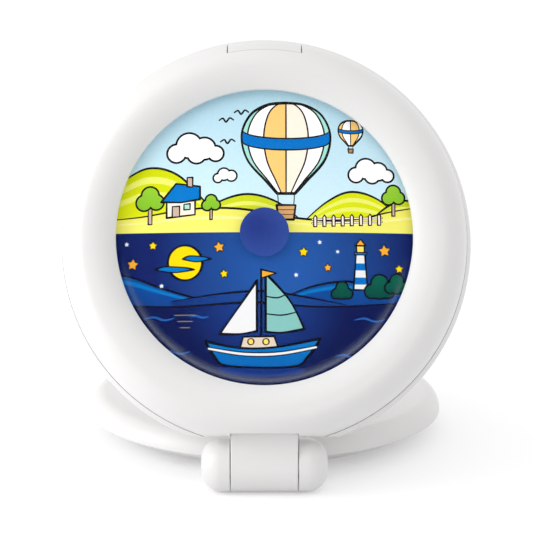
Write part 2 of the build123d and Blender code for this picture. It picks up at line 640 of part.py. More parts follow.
def light_guide(middle):
    """Half of the clear plate that spreads the light; middle is the direction of its edge."""
    z_span = (GUIDE_LEVEL, GUIDE_LEVEL + GUIDE_THICKNESS)
    guide = disc(DIAL_RADIUS - 2 * LOOSE_FIT, z_span, (0, LIP_RISE))
    gap = DIVIDER_WIDTH / 2 + LOOSE_FIT
    if middle > 0:
        guide &= block((-REACH, REACH), (BADGE_PLACE + gap, REACH), z_span)
    else:
        guide &= block((-REACH, REACH), (-REACH, BADGE_PLACE - gap), z_span)
    for turn in LED_SPREAD:
        guide -= led_block(middle + turn, LED_NOTCH_GAP, z_span)
    return guide


def light_divider():
    """Dark bar between the day half and the night half."""
    half = DIVIDER_WIDTH / 2
    z_span = (GUIDE_LEVEL - STACK_GAP, DIFFUSER_LEVEL - STACK_GAP / 2)
    bar = disc(DIAL_RADIUS - 3 * LOOSE_FIT, z_span, (0, LIP_RISE))
    return bar & block((-REACH, REACH), (BADGE_PLACE - half, BADGE_PLACE + half), (0, REACH))


def light_board():
    z_span = (PANEL_LEVEL, PANEL_LEVEL + LIGHT_BOARD_THICKNESS)
    return disc(DIAL_RADIUS - 2 * LOOSE_FIT, z_span, (0, LIP_RISE))


# ---- Top button ----
def top_button():
    half = BUTTON_WIDTH / 2
    y_span = (BUTTON_FLOOR, REACH)
    under = RING_WALL + KEY_GAP
    pad = dome(0) - dome(under + FLANGE_THICKNESS)
    pad &= block((-half, half), y_span, (BUTTON_REAR, BUTTON_FRONT))
    flange = dome(under) - dome(under + FLANGE_THICKNESS)
    flange_half = half + BUTTON_FLANGE
    flange &= block((-flange_half, flange_half), y_span, (BUTTON_REAR, BUTTON_FRONT - FLANGE_SETBACK))
    stem_level = PANEL_LEVEL + TOP_BOARD_DEPTH / 2
    stem_half = STEM_SIDE / 2
    stem = block(
        (-stem_half, stem_half),
        (TOP_PLUNGER + BUTTON_TRAVEL + PRESS_GAP, RIM_RADIUS),
        (stem_level - stem_half, stem_level + stem_half),
    )
    button = pad + flange + (stem & dome(RING_WALL / 2))
    for x in (-MARK_SPACING / 2, MARK_SPACING / 2):
        button += top_mark(x)
    return button


def top_mark(x):
    """Small raised oval that marks the button, near the crown."""
    level = BUTTON_REAR + MARK_SETBACK
    lean = (level - SEAM_LEVEL) / (CREST_LEVEL - SEAM_LEVEL)
    height = CREST_RADIUS + (SEAM_RADIUS - CREST_RADIUS) * sqrt(1 - lean**2)
    return Pos(x, sqrt(height**2 - x**2) - MARK_RADIUS + MARK_HEIGHT, level) * Sphere(MARK_RADIUS)


def top_board():
    half = TOP_BOARD_WIDTH / 2
    z_span = (PANEL_LEVEL, PANEL_LEVEL + TOP_BOARD_DEPTH)
    return block((-half, half), (SHELF_TOP, TOP_SWITCH_FOOT), z_span)


def top_switch():
    half = TOP_SWITCH_SIDE / 2
    level = PANEL_LEVEL + TOP_BOARD_DEPTH / 2
    case_top = TOP_SWITCH_FOOT + TOP_SWITCH_HEIGHT
    case = block((-half, half), (TOP_SWITCH_FOOT, case_top), (level - half, level + half))
    plunger = Rotation(RIGHT_ANGLE, 0, 0) * Cylinder(PLUNGER_RADIUS, PLUNGER)
    return case + Pos(0, TOP_PLUNGER - PLUNGER / 2, level) * plunger


# ---- Battery bay ----
def cell_places():
    """Height of each cell and the side that its nub points to."""
    first = BAY_CENTRE - (CELL_COUNT - 1) / 2 * CELL_PITCH
    return [(first + index * CELL_PITCH, 1 if index % 2 else -1) for index in range(CELL_COUNT)]


def cells():
    made = []
    tip = BAY_LENGTH / 2 - CONTACT_THICKNESS - STACK_GAP
    for height, side in cell_places():
        body = crosswise(CELL_RADIUS, (tip - CELL_LENGTH, tip - CELL_NUB), 0, 0)
        nub = crosswise(CELL_NUB_RADIUS, (tip - CELL_NUB, tip), 0, 0)
        turn = 0 if side > 0 else 180
        made.append(Pos(0, height, CELL_LEVEL) * Rotation(0, 0, turn) * (body + nub))
    return group(made)


def battery_contacts():
    made = []
    half = CONTACT_SIDE / 2
    outside = BAY_LENGTH / 2
    for height, side in cell_places():
        for end in (-1, 1):
            x_span = sorted((end * outside, end * (outside - CONTACT_THICKNESS)))
            y_span = (height - half, height + half)
            made.append(block(x_span, y_span, (CELL_LEVEL - half, CELL_LEVEL + half)))
    return group(made)


def battery_springs():
    made = []
    outside = BAY_LENGTH / 2 - CONTACT_THICKNESS - STACK_GAP
    room = BAY_END_SPACE - 3 * STACK_GAP - 2 * SPRING_WIRE
    path = Helix(room / SPRING_TURNS, room, SPRING_RADIUS)
    wire = sweep(Plane(path @ 0, z_dir=path % 0) * Circle(SPRING_WIRE), path, is_frenet=True)
    for height, side in cell_places():
        start = Pos(side * -(outside - SPRING_WIRE), height, CELL_LEVEL)
        made.append(start * Rotation(0, side * RIGHT_ANGLE, 0) * wire)
    return group(made)


def battery_door():
    door = door_outline(DOOR_FIT, (BOSS_LEVEL, BOSS_LEVEL + DOOR_THICKNESS))
    upright_edges = door.edges().filter_by(Axis.Z)
    main_corners = [edge for edge in upright_edges if abs(edge.center().X) > DOOR_TAB_WIDTH]
    door = fillet(main_corners + list(upright_edges.group_by(Axis.Y)[0]), DOOR_CORNER)
    place = door_screw_place()
    door -= disc(SCREW_HEAD_RADIUS + SCREW_CLEARANCE, (BOSS_LEVEL, BOSS_LEVEL + DOOR_THICKNESS / 2), place)
    door -= disc(SCREW_RADIUS + SCREW_CLEARANCE, (BOSS_LEVEL, 0), place)
    half_x, half_y = DOOR_RIB_LENGTH / 4, DOOR_RIB_WIDTH / 2
    for rib in range(DOOR_RIBS):
        y = BAY_CENTRE + (rib - (DOOR_RIBS - 1) / 2) * DOOR_RIB_PITCH
        z_span = (BOSS_LEVEL, BOSS_LEVEL + DOOR_RIB_DEPTH)
        door -= block((-half_x, half_x), (y - half_y, y + half_y), z_span)
    return door


def door_screw():
    x, y = door_screw_place()
    fastener = screw(SCREW_HEAD_RADIUS, DOOR_THICKNESS / 2, SCREW_RADIUS, DOOR_SCREW_LENGTH)
    return Pos(x, y, BOSS_LEVEL) * fastener


# ---- Main board, display and controls ----
def main_board():
    z_span = (BOARD_LEVEL, BOARD_FRONT)
    board = block((-BOARD_WIDE / 2, BOARD_WIDE / 2), (BOARD_BOTTOM, BOARD_SHOULDER), z_span)
    board += block((-BOARD_NARROW / 2, BOARD_NARROW / 2), (BOARD_BOTTOM, BOARD_TOP), z_span)
    for place in BOARD_POSTS:
        board -= disc(BOARD_SCREW_RADIUS + SCREW_CLEARANCE, z_span, place)
    return board


def board_screws():
    head = (2 * BOARD_SCREW_RADIUS, BOARD_SCREW_HEAD)
    fastener = Rotation(180, 0, 0) * screw(*head, BOARD_SCREW_RADIUS, BOARD_SCREW_LENGTH)
    return group([Pos(x, y, BOARD_FRONT + BOARD_SCREW_HEAD) * fastener for x, y in BOARD_POSTS])


def display():
    back = BOSS_FLOOR + LOOSE_FIT
    return window_block(DISPLAY_SIZE, (back, back + DISPLAY_THICKNESS))


def display_window():
    size = WINDOW_SIZE[0] - 2 * WINDOW_FIT, WINDOW_SIZE[1] - 2 * WINDOW_FIT
    return window_block(size, (BOSS_LEVEL, BOSS_LEVEL + WINDOW_THICKNESS))


def display_strips():
    """Rubber strips that join the display to the board."""
    made = []
    half = DISPLAY_SIZE[0] / 2 - STRIP_INSET
    z_span = (BOSS_FLOOR + LOOSE_FIT + DISPLAY_THICKNESS, BOARD_LEVEL)
    reach = DISPLAY_SIZE[1] / 2 - STRIP_WIDTH
    for side in (-1, 1):
        y_span = sorted((DISPLAY_CENTRE + side * reach, DISPLAY_CENTRE + side * (reach + STRIP_WIDTH)))
        made.append(block((-half, half), y_span, z_span))
    return group(made)


def key(x):
    flange_level = BOSS_FLOOR + KEY_GAP
    flange_top = flange_level + KEY_FLANGE_THICKNESS
    stem_top = BOARD_LEVEL - TACT_HEIGHT - TACT_PLUNGER - KEY_TRAVEL - PRESS_GAP
    cap = disc(KEY_RADIUS, (BOSS_LEVEL - KEY_PROUD, flange_level))
    cap = fillet(cap.edges().group_by(Axis.Z)[0], KEY_ROUND)
    body = cap + disc(KEY_RADIUS + KEY_FLANGE, (flange_level, flange_top))
    return Pos(x, KEY_ROW, 0) * (body + disc(KEY_STEM_RADIUS, (flange_top, stem_top)))


def key_switches():
    made = []
    half = TACT_SIDE / 2
    top = BOARD_LEVEL - TACT_HEIGHT
    for x in KEY_PLACES.values():
        case = block((x - half, x + half), (KEY_ROW - half, KEY_ROW + half), (top, BOARD_LEVEL))
        made.append(case + disc(KEY_STEM_RADIUS, (top - TACT_PLUNGER, top), (x, KEY_ROW)))
    return group(made)


def slide_knob():
    x = -SLIDE_TRAVEL / 2
    flange_level = BOSS_FLOOR + KEY_GAP
    case_top = BOARD_LEVEL - SLIDE_CASE_HEIGHT
    knob = slide_block(SLIDE_KNOB, (BOSS_LEVEL + KEY_PROUD, flange_level), x)
    flange_top = flange_level + KEY_FLANGE_THICKNESS
    knob += slide_block(SLIDE_FLANGE, (flange_level, flange_top), x)
    knob += slide_block(SLIDE_PIN, (flange_top, case_top + SLIDE_PIN_REACH), x)
    groove_width, groove_depth = SLIDE_RIB
    groove_span = (BOSS_LEVEL, BOSS_LEVEL + KEY_PROUD + groove_depth)
    for rib in SLIDE_RIBS:
        knob -= slide_block((groove_width, SLIDE_KNOB[1]), groove_span, x + rib)
    return knob


def slide_case():
    top = BOARD_LEVEL - SLIDE_CASE_HEIGHT
    slot = SLIDE_PIN[0] + SLIDE_TRAVEL + 2 * KEY_GAP, SLIDE_PIN[1] + 2 * KEY_GAP
    return slide_block(SLIDE_CASE, (top, BOARD_LEVEL)) - slide_block(slot, (top, top + SLIDE_SLOT_DEPTH))


def speaker():
    can = disc(SPEAKER_RADIUS, (BOSS_FLOOR, BOSS_FLOOR + SPEAKER_HEIGHT), SPEAKER_PLACE)
    return can - disc(SPEAKER_RADIUS - CONE_EDGE, (BOSS_FLOOR, BOSS_FLOOR + CONE_DEPTH), SPEAKER_PLACE)


def controller_chip():
    x, y = CHIP_PLACE
    half = CHIP_SIDE / 2
    z_span = (BOARD_FRONT, BOARD_FRONT + CHIP_HEIGHT)
    return block((x - half, x + half), (y - half, y + half), z_span)


def board_header():
    """Pin strip between the main board and the light board."""
    x, y = HEADER_PLACE
    half_x, half_y = HEADER_SIZE[0] / 2, HEADER_SIZE[1] / 2
    return block((x - half_x, x + half_x), (y - half_y, y + half_y), (BOARD_FRONT, PANEL_LEVEL))


def shell_screws():
    fastener = screw(SCREW_HEAD_RADIUS, SCREW_HEAD, SCREW_RADIUS, SCREW_LENGTH)
    return group([Pos(*polar(SCREW_CIRCLE, angle), BACK_LEVEL) * fastener for angle in SCREW_ANGLES])


# ---- Base ----
def side_knuckle():
    """Right end of the barrel, with the arm that joins it to the base."""
    start = KNUCKLE_START
    axis = (-HINGE_TO_CENTRE, AXIS_HEIGHT)
    barrel = crosswise(BARREL_RADIUS, (start, BARREL_LENGTH / 2), *axis)
    inner_edge = barrel.edges().filter_by(GeomType.CIRCLE).group_by(Axis.X)[0]
    barrel = fillet(inner_edge, KNUCKLE_EDGE)
    outer_edge = barrel.edges().filter_by(GeomType.CIRCLE).group_by(Axis.X)[-1]
    barrel = fillet(outer_edge, BARREL_END_ROUND)
    arm_span = (-HINGE_TO_CENTRE, ARM_LENGTH - HINGE_TO_CENTRE)
    knuckle = barrel + block((start, ARM_OUTSIDE), arm_span, (BASE_UNDERSIDE, ARM_TOP))
    knuckle -= crosswise(PIN_RADIUS + PIN_FIT, (start, PIN_LENGTH / 2 + PIN_END_ROOM), *axis)
    recess = HALF_MIDDLE + PIN_RUNNING + WASHER_THICKNESS + PIN_FIT
    return knuckle - crosswise(WASHER_RADIUS + WASHER_FIT, (start, recess), *axis)


def pan_side():
    """Outer side of the pan, from its flat underside up to the cover's edge."""
    outwards, down = BELLY
    belly = (FLAT_FLOOR_RADIUS + PAN_RADIUS) / 2 + outwards, (BASE_UNDERSIDE + PAN_SHOULDER) / 2 - down
    return ThreePointArc((FLAT_FLOOR_RADIUS, BASE_UNDERSIDE), belly, (PAN_RADIUS, PAN_SHOULDER))


def above_pan_side():
    """Room above the pan's underside, which trims the screw posts."""
    room = Polyline(
        (PAN_RADIUS, PAN_SHOULDER),
        (PAN_RADIUS, BASE_TOP),
        (0, BASE_TOP),
        (0, BASE_UNDERSIDE),
        (FLAT_FLOOR_RADIUS, BASE_UNDERSIDE),
    )
    return turned(room + pan_side())


def base_body():
    tongue_outside = BASE_RADIUS - BASE_WALL - BASE_TONGUE_FIT
    tongue_inside = tongue_outside - BASE_WALL
    outline = Polyline(
        (PAN_RADIUS, PAN_SHOULDER),
        (tongue_outside, PAN_SHOULDER),
        (tongue_outside, PAN_SHOULDER + BASE_TONGUE),
        (tongue_inside, PAN_SHOULDER + BASE_TONGUE),
        (tongue_inside, PAN_SHOULDER),
        (FLAT_FLOOR_RADIUS, FLOOR_TOP),
        (0, FLOOR_TOP),
        (0, BASE_UNDERSIDE),
        (FLAT_FLOOR_RADIUS, BASE_UNDERSIDE),
    )
    pan = turned(outline + pan_side())
    pan += side_knuckle()
    pan += mirror(side_knuckle(), Plane.YZ)
    head_top = BASE_SCREW_LEVEL + SCREW_HEAD
    for angle in BASE_SCREW_ANGLES:
        place = polar(BASE_SCREW_CIRCLE, angle)
        pan += disc(BASE_POST_RADIUS, (BASE_UNDERSIDE, LOWER_POST_TOP), place) & above_pan_side()
        pan -= disc(SCREW_HEAD_RADIUS + SCREW_CLEARANCE, (0, head_top), place)
        pan -= disc(SCREW_RADIUS + SCREW_CLEARANCE, (0, LOWER_POST_TOP), place)
    for angle in FOOT_ANGLES:
        foot_top = BASE_UNDERSIDE + FOOT_SINK
        pan -= disc(FOOT_RADIUS + FOOT_FIT, (BASE_UNDERSIDE, foot_top), polar(FOOT_CIRCLE, angle))
    for side in (-1, 1):
        pan -= strip_foot(side, FOOT_FIT)
    return pan


def strip_foot(side, margin):
    """Rubber strip under an arm, or its recess when margin is given."""
    x = side * (KNUCKLE_START + ARM_OUTSIDE) / 2
    y = STRIP_FOOT_REACH - HINGE_TO_CENTRE
    half_x, half_y = STRIP_FOOT[0] / 2 + margin, STRIP_FOOT[1] / 2 + margin
    z_span = (0, BASE_UNDERSIDE + FOOT_SINK)
    return block((x - half_x, x + half_x), (y - half_y, y + half_y), z_span)


def base_cover():
    centre = BASE_RADIUS - BASE_EDGE_ROUND
    arc_centre = (centre, BASE_EDGE)
    rise = BASE_TOP - BASE_EDGE
    wall = BASE_WALL + COVER_EDGE_EXTRA
    under = BASE_TOP - BASE_WALL
    outline = quarter_oval(arc_centre, BASE_EDGE_ROUND, rise)
    outline += quarter_oval(arc_centre, BASE_EDGE_ROUND - wall, rise - BASE_WALL)
    outline += Line((BASE_RADIUS, BASE_EDGE), (BASE_RADIUS - wall, BASE_EDGE))
    outline += Polyline(
        (centre, under),
        (WELL_RADIUS + BASE_WALL, under),
        (WELL_RADIUS + BASE_WALL, FLOOR_TOP),
        (WELL_RADIUS, FLOOR_TOP),
        (WELL_RADIUS, BASE_TOP - WELL_ROUND),
    )
    mouth = (WELL_RADIUS + WELL_ROUND, BASE_TOP)
    outline += RadiusArc((WELL_RADIUS, BASE_TOP - WELL_ROUND), mouth, WELL_ROUND)
    outline += Line(mouth, (centre, BASE_TOP))
    cover = turned(outline)
    for angle in BASE_SCREW_ANGLES:
        place = polar(BASE_SCREW_CIRCLE, angle)
        post = disc(BASE_POST_RADIUS, (LOWER_POST_TOP, BASE_TOP - BASE_WALL / 2), place)
        cover += post - disc(WELL_RADIUS + BASE_WALL / 2, (0, REACH))
        cover -= disc(SCREW_RADIUS + SCREW_FIT, (FLOOR_TOP, BASE_TOP - BASE_WALL), place)
    return cover


def base_screws():
    fastener = screw(SCREW_HEAD_RADIUS, SCREW_HEAD, SCREW_RADIUS, BASE_SCREW_LENGTH)
    places = [polar(BASE_SCREW_CIRCLE, angle) for angle in BASE_SCREW_ANGLES]
    return group([Pos(*place, BASE_SCREW_LEVEL) * fastener for place in places])


def rubber_feet():
    z_span = (0, BASE_UNDERSIDE + FOOT_SINK)
    round_feet = [disc(FOOT_RADIUS, z_span, polar(FOOT_CIRCLE, angle)) for angle in FOOT_ANGLES]
    return group(round_feet + [strip_foot(side, 0) for side in (-1, 1)])


def hinge_pin():
    return crosswise(PIN_RADIUS, (-PIN_LENGTH / 2, PIN_LENGTH / 2), -HINGE_TO_CENTRE, AXIS_HEIGHT)


def hinge_washers():
    made = []
    near = HALF_MIDDLE + PIN_RUNNING
    for side in (-1, 1):
        x_span = sorted((side * near, side * (near + WASHER_THICKNESS)))
        washer = crosswise(WASHER_RADIUS, x_span, -HINGE_TO_CENTRE, AXIS_HEIGHT)
        made.append(washer - crosswise(PIN_RADIUS + PIN_RUNNING, x_span, -HINGE_TO_CENTRE, AXIS_HEIGHT))
    return group(made)


# ---- Assembly ----
head_pieces = {
    "front_ring": front_ring(),
    "rear_shell": rear_shell(),
    "dial_lens": dial_lens(),
    "dial_print": dial_print(),
    "centre_badge": centre_badge(),
    "light_diffuser": diffuser(),
    "day_light_guide": light_guide(RIGHT_ANGLE),
    "night_light_guide": light_guide(-RIGHT_ANGLE),
    "light_divider": light_divider(),
    "day_leds": leds(RIGHT_ANGLE),
    "night_leds": leds(-RIGHT_ANGLE),
    "light_board": light_board(),
    "top_button": top_button(),
    "top_button_board": top_board(),
    "top_button_switch": top_switch(),
    "battery_cells": cells(),
    "battery_contacts": battery_contacts(),
    "battery_springs": battery_springs(),
    "battery_door": battery_door(),
    "battery_door_screw": door_screw(),
    "main_board": main_board(),
    "board_screws": board_screws(),
    "lcd_display": display(),
    "display_window": display_window(),
    "display_contact_strips": display_strips(),
    "key_switches": key_switches(),
    "slide_switch_knob": slide_knob(),
    "slide_switch_case": slide_case(),
    "speaker": speaker(),
    "controller_chip": controller_chip(),
    "board_header": board_header(),
    "shell_screws": shell_screws(),
}
for key_name, key_x in KEY_PLACES.items():
    head_pieces[key_name] = key(key_x)

base_pieces = {
    "base_body": base_body(),
    "base_cover": base_cover(),
    "base_screws": base_screws(),
    "rubber_feet": rubber_feet(),
    "hinge_pin": hinge_pin(),
    "hinge_friction_washers": hinge_washers(),
}

axis_place = Location((0, -HINGE_TO_CENTRE, AXIS_HEIGHT))
head_place = axis_place * Rotation(RIGHT_ANGLE - TILT, 0, 0) * Pos(0, HINGE_TO_CENTRE, 0)
foremost = (head_place * head_pieces["front_ring"]).bounding_box().min.Y
to_origin = Pos(0, -(foremost + BASE_RADIUS) / 2, 0)

os.makedirs("parts", exist_ok=True)
for name, piece in head_pieces.items():
    export_step(to_origin * head_place * piece, f"parts/{name}.step")
for name, piece in base_pieces.items():
    export_step(to_origin * piece, f"parts/{name}.step")

print("hinge axis at", [round(value, 4) for value in (to_origin * axis_place).position])
print("fold range, degrees:", RIGHT_ANGLE - TILT)
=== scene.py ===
import json
import math

import bpy
import numpy as np
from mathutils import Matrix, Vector
from mathutils.geometry import delaunay_2d_cdt


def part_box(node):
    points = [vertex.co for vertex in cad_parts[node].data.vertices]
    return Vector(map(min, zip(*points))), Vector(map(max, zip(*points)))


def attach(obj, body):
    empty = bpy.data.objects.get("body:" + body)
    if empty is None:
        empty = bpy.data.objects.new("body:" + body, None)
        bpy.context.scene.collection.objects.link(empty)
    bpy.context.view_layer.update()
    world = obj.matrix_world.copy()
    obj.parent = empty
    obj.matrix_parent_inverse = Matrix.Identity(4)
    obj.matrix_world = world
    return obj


# Looks of a round kids' alarm clock with a night light. Lengths are in metres, except in the dial's
# drawing, which is laid out in millimetres about the dial's centre, with Y up the dial.

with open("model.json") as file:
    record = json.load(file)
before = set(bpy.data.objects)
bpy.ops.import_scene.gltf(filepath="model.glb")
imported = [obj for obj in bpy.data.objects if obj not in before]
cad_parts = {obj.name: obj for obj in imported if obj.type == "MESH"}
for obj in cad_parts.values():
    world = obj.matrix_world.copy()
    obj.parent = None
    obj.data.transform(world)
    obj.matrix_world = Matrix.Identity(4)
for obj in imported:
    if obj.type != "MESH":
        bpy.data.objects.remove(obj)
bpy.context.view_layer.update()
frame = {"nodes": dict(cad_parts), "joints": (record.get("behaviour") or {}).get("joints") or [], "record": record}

MM = 0.001
fold = next(joint for joint in frame["joints"] if joint["name"] == "clock_fold")
HINGE = Vector(fold["pos_m"])
TILT = math.radians(90 - fold["range_deg"][1])
UP_DIAL = Vector((0, math.sin(TILT), math.cos(TILT)))
OUT_OF_DIAL = Vector((0, -math.cos(TILT), math.sin(TILT)))

# ---- Camera ----
IMAGE_WIDTH = 533
FOCAL_PIXELS = 2184.77
SENSOR = 36.0
CAMERA_PITCH = 12.96  # degrees below the horizon
CAMERA_ASIDE = 0.00067
CAMERA_BACK = 0.68217  # in front of the hinge axis
CAMERA_HEIGHT = 0.23239
FARTHEST = 100.0


def add_object(name, data):
    """New object, put into the scene."""
    made = bpy.data.objects.new(name, data)
    bpy.context.scene.collection.objects.link(made)
    return made


def make_camera():
    data = bpy.data.cameras.new("camera")
    data.sensor_width = SENSOR
    data.lens = FOCAL_PIXELS * SENSOR / IMAGE_WIDTH
    data.clip_end = FARTHEST
    camera = add_object("camera", data)
    camera.location = (CAMERA_ASIDE, HINGE.y - CAMERA_BACK, CAMERA_HEIGHT)
    camera.rotation_euler = (math.radians(90 - CAMERA_PITCH), 0, 0)
    bpy.context.scene.camera = camera


make_camera()
bpy.context.scene.view_settings.view_transform = "Standard"


# ---- Measures of the head, read from the frame ----
def dial_coordinates(point):
    """Across, up the dial from the hinge axis, and out in front of the axis."""
    offset = point - HINGE
    return offset.x, offset.dot(UP_DIAL), offset.dot(OUT_OF_DIAL)


def node_points(name):
    """Corners of a CAD node, in dial coordinates."""
    return [dial_coordinates(vertex.co) for vertex in frame["nodes"][name].data.vertices]


def ball_through(first, second):
    """Middle on the dial's axis and radius of the ball through two (radius, out) points."""
    (first_radius, first_out), (second_radius, second_out) = first, second
    squares = second_out**2 + second_radius**2 - first_out**2 - first_radius**2
    middle = squares / (2 * (second_out - first_out))
    return middle, math.hypot(first_radius, first_out - middle)


film = node_points("dial_print")
FILM_RADIUS = max(across for across, up, out in film)
FILM_HIDDEN = 0.003  # film under the lip
DIAL_CENTRE = (max(up for across, up, out in film) + min(up for across, up, out in film)) / 2
DIAL_HEIGHT = HINGE.dot(UP_DIAL) + DIAL_CENTRE  # dial's centre along UP_DIAL
film_profile = [(math.hypot(across, up - DIAL_CENTRE), out) for across, up, out in film]
film_edge = max(film_profile, key=lambda point: (round(point[0], 5), point[1]))
film_top = max(film_profile, key=lambda point: point[1])
BALL_OUT, BALL_RADIUS = ball_through(film_edge, film_top)
INK = 0.00003  # thickness of ink

shell = node_points("rear_shell")
RIM_RADIUS = max(across for across, up, out in shell)
HEAD_CENTRE = max(up for across, up, out in shell) - RIM_RADIUS
NEAR_RIM = 0.9  # share of the rim's radius
ring = node_points("front_ring")
ring_back = min(out for across, up, out in ring if across > NEAR_RIM * RIM_RADIUS)
SEAM_HALF = 0.00015
SEAM_LAP = 0.00002  # painted shade of the seam, reaching onto the ring's own edge
SEAM_DEPTH = 0.0034  # groove's bottom inside the rim
SEAM_OUT = ring_back - SEAM_HALF + SEAM_LAP

badge_low, badge_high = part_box("centre_badge")
badge_centre = dial_coordinates((badge_low + badge_high) / 2)
DIVIDE = round((badge_centre[1] - DIAL_CENTRE) / MM, 1)  # line between day and night


def on_film(x, y):
    """Point on the film's ink, from millimetres about the dial's centre."""
    x, y = x * MM, y * MM
    out = BALL_OUT + math.sqrt((BALL_RADIUS + INK) ** 2 - x * x - y * y)
    return HINGE + Vector((x, 0, 0)) + UP_DIAL * (DIAL_CENTRE + y) + OUT_OF_DIAL * out


# ---- Node helpers ----
NOISE_LOW, NOISE_HIGH = 0.3, 0.7  # between which a noise mostly lies


def linear(red, green, blue):
    """Scene colour from an sRGB colour of 0 to 255."""
    def channel(value):
        value /= 255
        return value / 12.92 if value <= 0.04045 else ((value + 0.055) / 1.055) ** 2.4
    return channel(red), channel(green), channel(blue), 1.0


def grey(value):
    return value, value, value, 1.0


def shade(colour, factor):
    """A colour made darker by a factor."""
    return tuple(channel * factor for channel in colour[:3]) + (1.0,)


def new_material(name, roughness, **sockets):
    """Material with a Principled shader; returns the material, its nodes' tree and the shader."""
    material = bpy.data.materials.new(name)
    material.use_nodes = True
    tree = material.node_tree
    shader = tree.nodes["Principled BSDF"]
    shader.inputs["Roughness"].default_value = roughness
    for socket, value in sockets.items():
        shader.inputs[socket.replace("_", " ")].default_value = value
    return material, tree, shader


def bare_material(name):
    """Material without a shader; returns the material and its nodes' tree."""
    material = bpy.data.materials.new(name)
    material.use_nodes = True
    tree = material.node_tree
    tree.nodes.remove(tree.nodes["Principled BSDF"])
    return material, tree


def noise(tree, feature, detail=2.0, stretch=(1, 1, 1)):
    """Noise whose features are about that large, in metres."""
    place = tree.nodes.new("ShaderNodeTexCoord")
    mapping = tree.nodes.new("ShaderNodeMapping")
    mapping.inputs["Scale"].default_value = stretch
    texture = tree.nodes.new("ShaderNodeTexNoise")
    texture.inputs["Scale"].default_value = 1 / feature
    texture.inputs["Detail"].default_value = detail
    tree.links.new(place.outputs["Object"], mapping.inputs["Vector"])
    tree.links.new(mapping.outputs["Vector"], texture.inputs["Vector"])
    return texture.outputs["Fac"]


def ramp(tree, factor, stops):
    """Colour ramp over (position, colour) stops."""
    node = tree.nodes.new("ShaderNodeValToRGB")
    elements = node.color_ramp.elements
    while len(elements) < len(stops):
        elements.new(0.5)
    for element, (position, colour) in zip(elements, stops):
        element.position = position
        element.color = colour
    tree.links.new(factor, node.inputs["Fac"])
    return node.outputs["Color"]


def between(tree, value, start, end, low=0.0, high=1.0):
    """Numbers from low to high as a value goes from start to end."""
    node = tree.nodes.new("ShaderNodeMapRange")
    node.inputs["From Min"].default_value = start
    node.inputs["From Max"].default_value = end
    node.inputs["To Min"].default_value = low
    node.inputs["To Max"].default_value = high
    tree.links.new(value, node.inputs["Value"])
    return node.outputs["Result"]


def uneven(tree, texture, low, high):
    """Noise turned into numbers from low to high."""
    return between(tree, texture, NOISE_LOW, NOISE_HIGH, low, high)


def mottled(tree, texture, dark, light):
    """Noise turned into colours from dark to light."""
    return ramp(tree, texture, [(NOISE_LOW, dark), (NOISE_HIGH, light)])


def bump(tree, shader, layers, edge=0.0):
    """Bump from (height, depth in metres) layers, coarsest first, over edges softened by a radius."""
    normal = None
    if edge:
        soft = tree.nodes.new("ShaderNodeBevel")
        soft.inputs["Radius"].default_value = edge
        normal = soft.outputs["Normal"]
    for height, depth in layers:
        node = tree.nodes.new("ShaderNodeBump")
        node.inputs["Strength"].default_value = 1.0
        node.inputs["Distance"].default_value = depth
        tree.links.new(height, node.inputs["Height"])
        if normal:
            tree.links.new(normal, node.inputs["Normal"])
        normal = node.outputs["Normal"]
    tree.links.new(normal, shader.inputs["Normal"])


def calculate(tree, operation, *values):
    """Result of a math node, whose values are numbers or sockets."""
    node = tree.nodes.new("ShaderNodeMath")
    node.operation = operation
    for socket, value in zip(node.inputs, values):
        if isinstance(value, float):
            socket.default_value = value
        else:
            tree.links.new(value, socket)
    return node.outputs[0]


def within(tree, value, low, high):
    """1 where a value lies from low to high, and 0 elsewhere."""
    return calculate(tree, "COMPARE", value, (low + high) / 2, (high - low) / 2)


def measured(tree, operation, vector):
    """Dot product or distance between each place on a piece and a vector."""
    place = tree.nodes.new("ShaderNodeTexCoord")
    node = tree.nodes.new("ShaderNodeVectorMath")
    node.operation = operation
    node.inputs[1].default_value = vector
    tree.links.new(place.outputs["Object"], node.inputs[0])
    return node.outputs["Value"]


def along(tree, direction, start, end):
    """0 to 1 along a direction, between two places on it in metres."""
    return between(tree, measured(tree, "DOT_PRODUCT", direction), start, end)


def away(tree, point, start, end):
    """0 to 1 with the distance from a point, between two distances in metres."""
    return between(tree, measured(tree, "DISTANCE", point), start, end)


def multiply(tree, colour, tint):
    """One colour times another."""
    node = tree.nodes.new("ShaderNodeMix")
    node.data_type = "RGBA"
    node.blend_type = "MULTIPLY"
    node.inputs["Factor"].default_value = 1.0
    tree.links.new(colour, node.inputs["A"])
    tree.links.new(tint, node.inputs["B"])
    return node.outputs["Result"]


def mix_shaders(tree, share, first, second):
    """The first shader, which turns into the second as the share goes from 0 to 1."""
    node = tree.nodes.new("ShaderNodeMixShader")
    tree.links.new(share, node.inputs["Fac"])
    tree.links.new(first, node.inputs[1])
    tree.links.new(second, node.inputs[2])
    return node.outputs["Shader"]


# ---- Materials ----
WHITE = linear(240, 239, 238)
# painted shade in the seam between the front ring and the rear shell
SEAM_SHADE = grey(0.5)
LENS_GLINT = (0.78, 0.87, 1.0, 1)

# Sizes of what makes a moulded surface uneven
TONE = 0.018
SHEEN = 0.02
WAVE = 0.012
GRAIN = 0.0009
SOFT_EDGE = 0.00025

LENS_BAND = 0.004  # width of the painted reflection band at the lens's rounded edge
BAND_START = 0.004  # below the dial's centre, where the painted reflection starts
BAND_FULL = 0.036  # below the dial's centre, where the painted reflection is strongest
SLEEVE_HALF = 0.024  # half the length of a battery sleeve's shading


